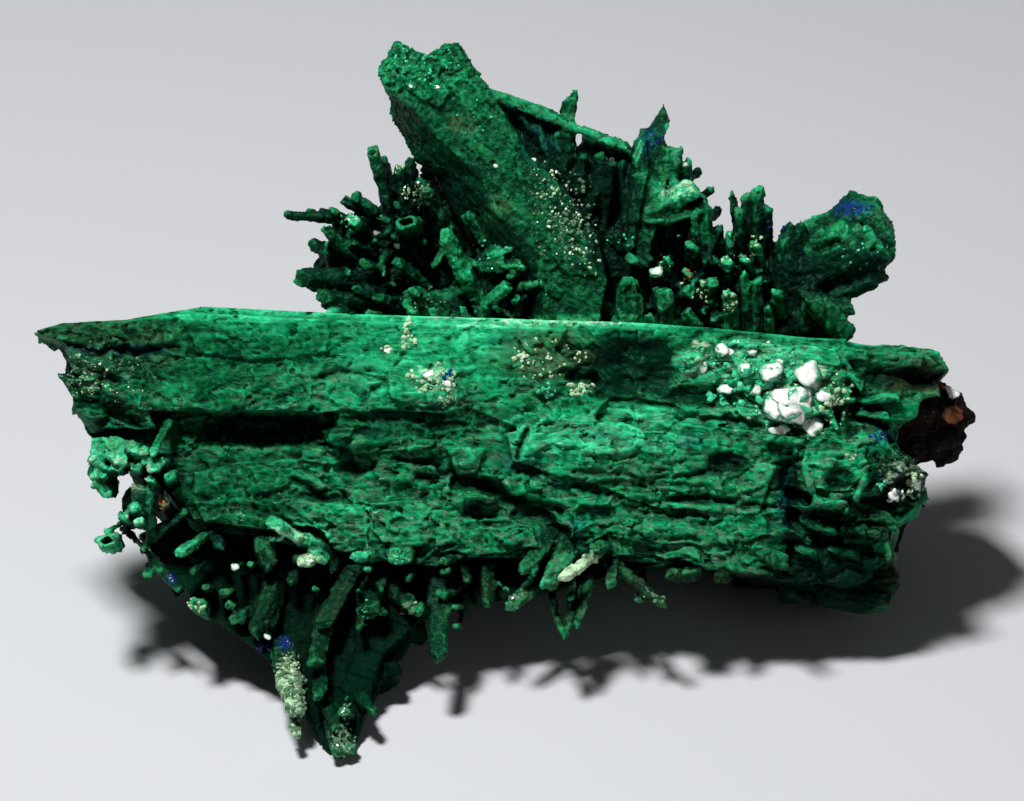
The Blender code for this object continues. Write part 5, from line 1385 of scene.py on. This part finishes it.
def carried_at(x, y):
    """The nearest point of any piece that is seen at a pixel, and the way that it faces."""
    way = (face_point(*through(x, y, BEHIND_ALL)) - spot).normalized()
    hits = [carrier.ray_cast(spot, way) for carrier in carriers]
    hits = [hit for hit in hits if hit[0] is not None]
    return min(hits, key=lambda hit: hit[3])[:2] if hits else None


draw = random.Random(8)
druse_parts = []
for x, y, half_wide, half_high, count, least, most, colour in DRUSE:
    for _ in range(count):
        turn, out = draw.uniform(0, 2 * math.pi), draw.random() ** 0.6
        found = carried_at(x + half_wide * out * math.cos(turn), y + half_high * out * math.sin(turn))
        size = (least + (most - least) * draw.random() ** 1.8) * MM
        lean = Vector([draw.uniform(-0.7, 0.7) for _ in range(3)])
        roll = draw.uniform(0, math.pi)
        if found is None:
            continue
        where, outward = found
        grain = druse_master.copy()
        grain.data = druse_master.data.copy()
        bpy.context.collection.objects.link(grain)
        way = (outward + lean).normalized().to_track_quat("Z", "Y").to_matrix().to_4x4()
        shape = Matrix.Diagonal((1.25 * size, size, 0.55 * size, 1))
        grain.data.transform(Matrix.Translation(where) @ way @ Matrix.Rotation(roll, 4, "Z") @ shape)
        keep(grain, druse_colour=DRUSE_COLOURS[colour])
        druse_parts.append(grain)
bpy.data.objects.remove(druse_master)

# %% [markdown]
# ## White lumps
# The white spots among the druse are rounded lumps with green rims. The large ones at the right
# of the face are painted glare: a painted highlight, white in the middle and green at the rim. Each
# is a ball that noise makes uneven, pressed flat on the face that carries it and turned a little to
# the camera.

# %% White lumps
WHITE_LUMPS = [  # middle and half widths in pixels, and the turn in degrees
    (771, 371, 10, 9, 0), (768, 375, 8, 6, 30), (808, 373, 11, 10, 20), (811, 384, 9, 8, -30),
    (788, 397, 15, 9, 10), (774, 406, 9, 10, -20), (780, 414, 12, 8, 10), (801, 403, 12, 10, 30),
    (796, 414, 10, 9, 60), (790, 406, 12, 10, 80), (799, 393, 10, 7, -20), (812, 426, 8, 8, 0),
    (722, 350, 5, 6, 0), (703, 367, 4, 5, 0), (745, 368, 5, 5, 0), (727, 389, 8, 4, 0), (823, 396, 7, 5, 0),
    (780, 430, 8, 4, 0), (611, 160, 10, 2.5, 12), (656, 272, 5, 4, 0), (376, 233, 13, 2.5, 5),
    (397, 246, 3, 3, 0), (684, 165, 3.5, 2.5, 0), (235, 567, 3.5, 3, 0), (267, 637, 3, 2, 30),
    (411, 86, 2.5, 1.5, 0), (437, 87, 2.5, 1.5, 0), (496, 166, 2, 1.5, 0), (534, 160, 2.5, 2, 0),
    (447, 383, 5, 3, 20), (429, 374, 5, 3, -20), (388, 350, 3.5, 2.5, 0), (894, 496, 5, 4, 0),
    (916, 484, 5, 5, 0), (309, 561, 3.5, 2.5, 0), (407, 332, 2.5, 4, 0), (522, 356, 3, 2.5, 0),
    (730, 352, 4, 3, 0), (757, 391, 4, 4, 0), (752, 352, 4, 3, 0),
]
for x, y, half_wide, half_high, degrees in WHITE_LUMPS:
    found = carried_at(x, y)
    if found is None:
        continue
    where, outward = found
    bpy.ops.mesh.primitive_ico_sphere_add(subdivisions=3, radius=1.0, location=(0, 0, 0))
    lump = bpy.context.object
    rims = []
    for vert in lump.data.vertices:
        place = vert.co + Vector((x, y, 0))
        rims.append(0.78 - vert.co.z + 0.35 * noise.noise(place * 2.3))
        vert.co *= 1.0 + 0.5 * noise.noise(place * 1.2) + 0.16 * noise.noise(place * 3.1)
    lump.data.polygons.foreach_set("use_smooth", [True] * len(lump.data.polygons))
    toward = (outward + 1.5 * (spot - where).normalized()).normalized()
    sideways = Vector((1, 0, 0)).cross(toward).cross(toward).normalized() * -1
    frame_of_lump = Matrix((sideways, toward.cross(sideways), toward)).transposed().to_4x4()
    half_sizes = half_wide, half_high, 0.28 * min(half_wide, half_high)
    sizes = [1.2 * half / PIXELS_A_MM * MM for half in half_sizes]
    turned = frame_of_lump @ Matrix.Rotation(math.radians(-degrees), 4, "Z") @ Matrix.Diagonal((*sizes, 1))
    lump.data.transform(Matrix.Translation(where) @ turned)
    # White in the middle and green towards the rim, as painted glare.
    keep(lump, druse_colour=DRUSE_COLOURS["white"], green_rim=ease(0.0, 0.55, np.array(rims)))
    druse_parts.append(lump)
pale_druse = join_all(druse_parts, "pale_druse")
print("druse crystals:", len(druse_parts), "with", len(pale_druse.data.polygons), "faces")

# %% [markdown]
# ## Finishes
# Two node groups hold what several finishes share: the greens and the fine bumps. These helpers
# add their nodes and link them.

# %% Node helpers
def fill(tree, inputs, values):
    """Fills a node's inputs with numbers, colours or links."""
    for name, value in values.items():
        if isinstance(value, bpy.types.NodeSocket):
            tree.links.new(value, inputs[name])
        else:
            inputs[name].default_value = value


def add_node(tree, kind, values=None, **settings):
    """Adds a shader node, sets it up, and fills its inputs."""
    made = tree.nodes.new("ShaderNode" + kind)
    for name, value in settings.items():
        setattr(made, name, value)
    fill(tree, made.inputs, values or {})
    return made


def maths(tree, operation, first, second=0.0, third=0.0):
    """One step of arithmetic; returns its result."""
    return add_node(tree, "Math", {0: first, 1: second, 2: third}, operation=operation).outputs[0]


def product(tree, first, *others):
    """The product of several values."""
    for other in others:
        first = maths(tree, "MULTIPLY", first, other)
    return first


def vector_maths(tree, operation, inputs, output=0):
    """One step of arithmetic with vectors; returns its result."""
    return add_node(tree, "VectorMath", inputs, operation=operation).outputs[output]


def blend_colour(tree, share, first, second):
    """Mixes two colours by a share."""
    return add_node(tree, "Mix", {0: share, 6: first, 7: second}, data_type="RGBA").outputs[2]


def colour_ramp(tree, value, stops, kind="LINEAR"):
    """A colour for each value, from stops with a position and a colour."""
    ramp = add_node(tree, "ValToRGB", {0: value})
    ramp.color_ramp.interpolation = kind
    elements = ramp.color_ramp.elements
    for element, (position, colour) in zip(elements, (stops[0], stops[-1])):
        element.position, element.color = position, (*colour, 1)
    for position, colour in stops[1:-1]:
        elements.new(position).color = (*colour, 1)
    return ramp.outputs[0]


def from_to(tree, value, low, high, to_low=0.0, to_high=1.0):
    """Stretches a range of values to another, and keeps it inside."""
    ends = {"From Min": low, "From Max": high, "To Min": to_low, "To Max": to_high}
    return add_node(tree, "MapRange", {"Value": value, **ends}).outputs["Result"]


def new_group(name, inputs, outputs):
    """An empty node group with its sockets, and its input and output nodes."""
    group = bpy.data.node_groups.new(name, "ShaderNodeTree")
    for socket, kind in inputs.items():
        group.interface.new_socket(socket, in_out="INPUT", socket_type="NodeSocket" + kind)
    for socket, kind in outputs.items():
        group.interface.new_socket(socket, in_out="OUTPUT", socket_type="NodeSocket" + kind)
    return group, group.nodes.new("NodeGroupInput").outputs, group.nodes.new("NodeGroupOutput").inputs


def noise_at(tree, place, scale, detail=3.0, roughness=0.55, warp=0.0):
    """Noise between 0 and 1 at a place in millimetres."""
    grain = {"Scale": scale, "Detail": detail, "Roughness": roughness, "Distortion": warp}
    return add_node(tree, "TexNoise", {"Vector": place, **grain}).outputs[0]


def new_finish(name, piece):
    """Gives a piece an empty finish; returns the finish's tree and its shader's inputs."""
    finish = bpy.data.materials.new(name)
    finish.use_nodes = True
    piece.data.materials.clear()
    piece.data.materials.append(finish)
    return finish.node_tree, finish.node_tree.nodes["Principled BSDF"].inputs


def bumpy(tree, height, strength=1.0):
    """Bumps in the surface from a height in millimetres."""
    return add_node(tree, "Bump", {"Height": height, "Distance": MM, "Strength": strength}).outputs[0]


# %% [markdown]
# ## The greens
# One ramp goes from deep green to cream. Its level adds up noise of three sizes, the stored tone
# and patches, some of them painted light and shade, and free edges, partly painted highlight. Olive,
# grey, teal, brown, blue and cream lie over it in spots. Painted shade then darkens it all towards a
# shade green in crowded hollows, in grooves, in gaps between grains and in the darkest patches.

# %% Group: the greens
DEEP = (0.0004, 0.022, 0.009)
EMERALD = (0.0015, 0.120, 0.038)
GREEN = (0.007, 0.34, 0.130)
MINT = (0.055, 0.70, 0.330)
CREAM = (0.62, 0.88, 0.56)
AZURE = (0.004, 0.020, 0.22)
OLIVE = (0.022, 0.170, 0.024)
SAGE = (0.110, 0.230, 0.140)
# The shade green that painted shade darkens towards.
NIGHT = (0.0006, 0.0038, 0.0027)
TEAL = (0.0015, 0.075, 0.060)
UMBER = (0.085, 0.060, 0.022)
MAUVE = (0.100, 0.095, 0.080)
FROM_MESH = ["Tone", "Light", "End", "Crevice", "Edge", "Pale", "Blue", "Brown", "Ragged"]
FROM_FINISH = ["Pit", "Streak", "Lightness", "Grey", "Cold", "Warm"]

greens, given, result = new_group(
    "malachite greens", {"Place": "Vector", **dict.fromkeys(FROM_MESH + FROM_FINISH, "Float")},
    {"Color": "Color", "Roughness": "Float"},
)


def spots(scale, detail, roughness, warp, low, high, most=1.0):
    """Spots of noise on the greens, from 0 to the most."""
    grain = noise_at(greens, given["Place"], scale, detail, roughness, warp)
    return from_to(greens, grain, low, high, 0.0, most)


large = noise_at(greens, given["Place"], 0.11, 2.0)
middle = noise_at(greens, given["Place"], 0.50, 4.0, 0.62, 0.6)
small = noise_at(greens, given["Place"], 2.2, 3.0, 0.65)
level = given["Lightness"]
for value, share in (
    (large, 0.40), (middle, 0.76), (small, 0.22), (given["Streak"], 0.30), (given["Tone"], 0.60),
    (given["Light"], 0.45), (given["End"], 0.22),
):
    level = maths(greens, "MULTIPLY_ADD", value, share, level)
# Free edges are painted paler, partly a painted highlight, and grooves darker.
level = maths(greens, "ADD", level, from_to(greens, given["Edge"], -0.07, 0.10, -0.08, 0.14))
level = maths(greens, "SUBTRACT", level, 0.86)
mixed = colour_ramp(
    greens, level, [(0.02, DEEP), (0.24, EMERALD), (0.48, GREEN), (0.80, MINT), (1.0, CREAM)]
)
alive = from_to(greens, level, 0.05, 0.40)
grey = product(greens, given["Grey"], from_to(greens, given["Ragged"], 0.15, 0.6, 0.15), alive)
specks = noise_at(greens, given["Place"], 1.7, 4.0, 0.72)
specks = maths(greens, "MULTIPLY_ADD", given["Pale"], 0.40, specks)
for share, colour in (
    (product(greens, spots(0.40, 4.0, 0.65, 0.4, 0.48, 0.70), given["Warm"], alive), OLIVE),
    (product(greens, spots(0.95, 4.0, 0.65, 0.3, 0.48, 0.68), grey), SAGE),
    (product(greens, spots(1.25, 3.0, 0.60, 0.0, 0.58, 0.72, 0.75), grey), MAUVE),
    (product(greens, spots(0.31, 4.0, 0.65, 0.4, 0.52, 0.70), given["Cold"], alive), TEAL),
    (product(greens, given["Brown"], from_to(greens, middle, 0.38, 0.60), 0.8), UMBER),
    (product(greens, given["Blue"], from_to(greens, small, 0.42, 0.60)), AZURE),
    (product(greens, from_to(greens, specks, 0.70, 0.90), 0.85), CREAM),
):
    mixed = blend_colour(greens, share, mixed, (*colour, 1))
# Painted shade: darker in crowded hollows, in grooves, in gaps between grains and in the darkest patches.
shade = product(
    greens, from_to(greens, given["Crevice"], 0.30, 1.4, 1.0, 0.03),
    from_to(greens, given["Edge"], -0.15, 0.0, 0.68), from_to(greens, given["Pit"], 0.0, 1.0, 1.0, 0.55),
    from_to(greens, given["Light"], -1.2, -0.5, 0.35),
)
fill(greens, result, {
    "Color": blend_colour(greens, shade, (*NIGHT, 1), mixed),
    "Roughness": from_to(greens, small, 0.35, 0.65, 0.42, 0.68),
})

# %% [markdown]
# ## The fine bumps
# The mesh can't hold the smallest grains, so a height is worked out for them: two sizes of facets,
# grit, gaps between grains, and streaks along each crystal.

# %% Group: fine bumps
crumbs, given, result = new_group(
    "fine crumbs", {"Place": "Vector", "Growth": "Vector", "Streaks": "Float", "Ragged": "Float"},
    {"Height": "Float", "Streak": "Float", "Pit": "Float"},
)


def small_facets(tree, place, scale):
    """Facets that tilt at random: how far a place lies along its cell's own slope."""
    cells = add_node(tree, "TexVoronoi", {"Vector": place, "Scale": scale}).outputs
    here = vector_maths(tree, "SCALE", {0: place, "Scale": scale})
    centre = vector_maths(tree, "SCALE", {0: cells["Position"], "Scale": scale})
    offset = vector_maths(tree, "SUBTRACT", {0: here, 1: centre})
    tilt = vector_maths(tree, "SUBTRACT", {0: cells["Color"], 1: (0.5, 0.5, 0.5)})
    return vector_maths(tree, "DOT_PRODUCT", {0: offset, 1: tilt}, "Value")


def grain_gaps(scale, wide):
    """Slanted gaps between some of the grains: 1 in a gap and 0 on a grain."""
    turned = {"Vector": given["Place"], "Rotation": (0, 0.5, 0), "Scale": (0.7, 1.0, 1.3)}
    slanted = add_node(crumbs, "Mapping", turned).outputs[0]
    cells = add_node(crumbs, "TexVoronoi", {"Vector": slanted, "Scale": scale}, feature="DISTANCE_TO_EDGE")
    gap = from_to(crumbs, cells.outputs["Distance"], 0.01, wide, 1.0, 0.0)
    here = from_to(crumbs, noise_at(crumbs, given["Place"], scale * 0.5, 2.0), 0.54, 0.66)
    return product(crumbs, gap, here)


facets, finer = small_facets(crumbs, given["Place"], 1.7), small_facets(crumbs, given["Place"], 3.6)
grit = noise_at(crumbs, given["Place"], 5.5, 3.0, 0.7)
streak = noise_at(crumbs, given["Growth"], 2.3, 3.0, 0.6)
pit = maths(crumbs, "MAXIMUM", grain_gaps(0.95, 0.16), grain_gaps(1.9, 0.20))
height = maths(crumbs, "MULTIPLY_ADD", facets, 0.36, product(crumbs, finer, 0.08))
height = product(crumbs, height, from_to(crumbs, given["Ragged"], 0.0, 1.0, 0.12))
height = maths(crumbs, "MULTIPLY_ADD", grit, 0.03, height)
height = maths(crumbs, "MULTIPLY_ADD", pit, -0.07, height)
height = maths(crumbs, "ADD", height, product(crumbs, streak, given["Streaks"]))
fill(crumbs, result, {"Height": height, "Streak": streak, "Pit": pit})
print("node groups:", [group.name for group in bpy.data.node_groups])

# %% [markdown]
# ## Malachite finishes
# Each piece gets its own finish from the two groups, with its own lightness and strength of
# streaks. Fibrous malachite has a silky gloss, so the shader has a little gloss too.

# %% Malachite finish
def stored(tree, name, output="Fac"):
    """A value that the mesh stores at its points."""
    return add_node(tree, "Attribute", attribute_name=name).outputs[output]


def millimetres(tree):
    """The place on the piece in millimetres."""
    return vector_maths(tree, "SCALE", {0: add_node(tree, "TexCoord").outputs["Object"], "Scale": 1 / MM})


def make_malachite(piece, lightness, streaks, gloss, grey=0.6, cold=0.1, warm=0.7, stretch=(1, 1, 1)):
    """Gives a piece a green finish that reads the values stored in its mesh."""
    tree, shader = new_finish(piece.name + "_green", piece)
    place = vector_maths(tree, "MULTIPLY", {0: millimetres(tree), 1: stretch})
    from_mesh = {name: stored(tree, "crystal_end" if name == "End" else name.lower()) for name in FROM_MESH}
    bumps = add_node(tree, "Group", {
        "Place": place, "Growth": stored(tree, "growth", "Vector"), "Ragged": from_mesh["Ragged"],
        "Streaks": streaks,
    }, node_tree=crumbs).outputs
    colours = add_node(tree, "Group", {
        "Place": place, "Streak": bumps["Streak"], "Pit": bumps["Pit"], "Lightness": lightness,
        "Grey": grey, "Cold": cold, "Warm": warm, **from_mesh,
    }, node_tree=greens).outputs
    fill(tree, shader, {
        "Base Color": colours["Color"], "Roughness": colours["Roughness"],
        "Normal": bumpy(tree, bumps["Height"]), "Specular IOR Level": gloss,
        "Specular Tint": (0.20, 0.85, 0.50, 1),
    })


FINISHES = {  # lightness, streaks in millimetres, gloss; then shares of grey, teal and olive; stretch
    "long_crystal": (0.01, 0.06, 0.15, 1.0, 0.5, 0.36, (0.6, 1, 1)),
    "leaning_crystal": (-0.12, 0.14, 0.3, 0.2, 0.0, 0.6),
    "upper_left_crystals": (-0.10, 0.20, 0.35, 0.3, 0.0, 0.8),
    "upper_right_crystals": (-0.07, 0.20, 0.35, 0.5, 0.0, 0.7),
    "hanging_crystals": (-0.11, 0.16, 0.25, 0.7, 0.1, 0.9),
    # The under crystals are painted nearly black, as shade.
    "under_crystals": (-0.66, 0.14, 0.05),
    "back_crystals": (-0.02, 0.14, 0.20),
    "back_upper_crystals": (-0.08, 0.14, 0.20),
}
for piece in [long_crystal, leaning_crystal, *groups]:
    make_malachite(piece, *FINISHES[piece.name])

# %% [markdown]
# ## Druse finish
# The tiny crystals keep their flat faces and are glossy, so they sparkle. Each reads its colour
# from a value in the mesh, and noise makes each a little lighter or darker.

# %% Druse finish
tree, shader = new_finish("druse_glint", pale_druse)
place = millimetres(tree)
choice = colour_ramp(tree, stored(tree, "druse_colour"), [
    (0.0, (0.46, 0.66, 0.38)), (0.17, (0.95, 0.95, 0.90)), (0.34, (0.06, 0.62, 0.32)),
    (0.50, (0.006, 0.018, 0.16)), (0.67, (0.42, 0.15, 0.045)), (0.84, (0.10, 0.21, 0.11)),
], "CONSTANT")
rimmed = blend_colour(tree, stored(tree, "green_rim"), choice, (0.020, 0.34, 0.16, 1))
lighter = from_to(tree, noise_at(tree, place, 1.6, 2.0, 0.6), 0.35, 0.6, 0.75)
fill(tree, shader, {
    "Base Color": vector_maths(tree, "SCALE", {0: rimmed, "Scale": lighter}),
    "Roughness": from_to(tree, noise_at(tree, place, 2.5, 2.0), 0.3, 0.7, 0.12, 0.35),
    "Normal": bumpy(tree, noise_at(tree, place, 6.0, 2.0), 0.05),
})

# %% [markdown]
# ## Rock finish
# The rock is dark brown and stained by iron, with ochre patches and a few pale grains. Where
# points crowd, it is darkened as painted shade.

# %% Rock finish
tree, shader = new_finish("iron_stained_rock", rock)
place = millimetres(tree)
rock_colour = colour_ramp(tree, noise_at(tree, place, 0.28, 5.0, 0.62, 0.5), [
    (0.30, (0.004, 0.003, 0.004)), (0.56, (0.008, 0.004, 0.004)), (0.82, (0.05, 0.018, 0.011)),
])
grains = from_to(tree, noise_at(tree, place, 1.9, 3.0, 0.6), 0.62, 0.72)
rock_colour = blend_colour(tree, product(tree, grains, 0.2), rock_colour, (0.5, 0.36, 0.28, 1))
for value, colour in (("brown", (0.40, 0.15, 0.07, 1)), ("pale", (0.92, 0.90, 0.90, 1))):
    patchy = maths(tree, "MULTIPLY_ADD", stored(tree, value), 0.9, noise_at(tree, place, 0.9, 4.0, 0.7))
    rock_colour = blend_colour(tree, from_to(tree, patchy, 0.95, 1.15), rock_colour, colour)
# Painted shade where points crowd.
shade = from_to(tree, stored(tree, "crevice"), 0.45, 1.6, 1.0, 0.2)
rock_height = product(tree, small_facets(tree, place, 1.3), 0.4)
rock_height = maths(tree, "MULTIPLY_ADD", noise_at(tree, place, 3.0, 4.0, 0.65), 0.2, rock_height)
fill(tree, shader, {
    "Base Color": vector_maths(tree, "SCALE", {0: rock_colour, "Scale": shade}),
    "Roughness": from_to(tree, grains, 0.0, 1.0, 0.8, 0.45), "Normal": bumpy(tree, rock_height),
    "Specular IOR Level": 0.12,
})

# %% [markdown]
# ## Floor and light
# The specimen stands on a plain pale floor. One large soft light above and in front does most of
# the work, so that ledges throw shadows downwards, and a weak one fills from the right.

# %% Floor and lights
bpy.ops.mesh.primitive_plane_add(size=4.0, location=(0, 0, 0))
floor = bpy.context.object
floor.name = floor.data.name = "pale_floor"
tree, shader = new_finish("pale_floor", floor)
fill(tree, shader, {"Base Color": (0.50, 0.51, 0.53, 1), "Roughness": 0.9})


def add_light(name, place, power, size):
    """A square soft light that looks at the specimen's middle."""
    place = Vector(place)
    way = (Vector((0, 0, 0.035)) - place).to_track_quat("-Z", "Y").to_euler()
    bpy.ops.object.light_add(type="AREA", location=place, rotation=way)
    light = bpy.context.object
    light.name = name
    light.data.energy, light.data.size = power, size


add_light("key_light", (-0.16, -0.11, 0.62), 6.0, 0.11)
add_light("fill_light", (0.45, -0.60, 0.30), 0.35, 0.4)
world = bpy.data.worlds.new("studio")
world.use_nodes = True
background = world.node_tree.nodes["Background"].inputs
fill(world.node_tree, background, {"Color": (0.85, 0.88, 0.9, 1), "Strength": 0.06})
bpy.context.scene.world = world
bpy.context.scene.view_settings.view_transform = "Standard"

# %% [markdown]
# ## Tie the pieces to the solid model
# Each piece rides with the solid model and stands for one of its two solids.

# %% Tie the pieces to the solid model
for master in masters.values():
    bpy.data.objects.remove(master)
for piece in [long_crystal, leaning_crystal, *groups, pale_druse]:
    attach(piece, "root")
    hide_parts("malachite_crystals")
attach(rock, "root")
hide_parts("matrix_rock")
bpy.context.view_layer.update()
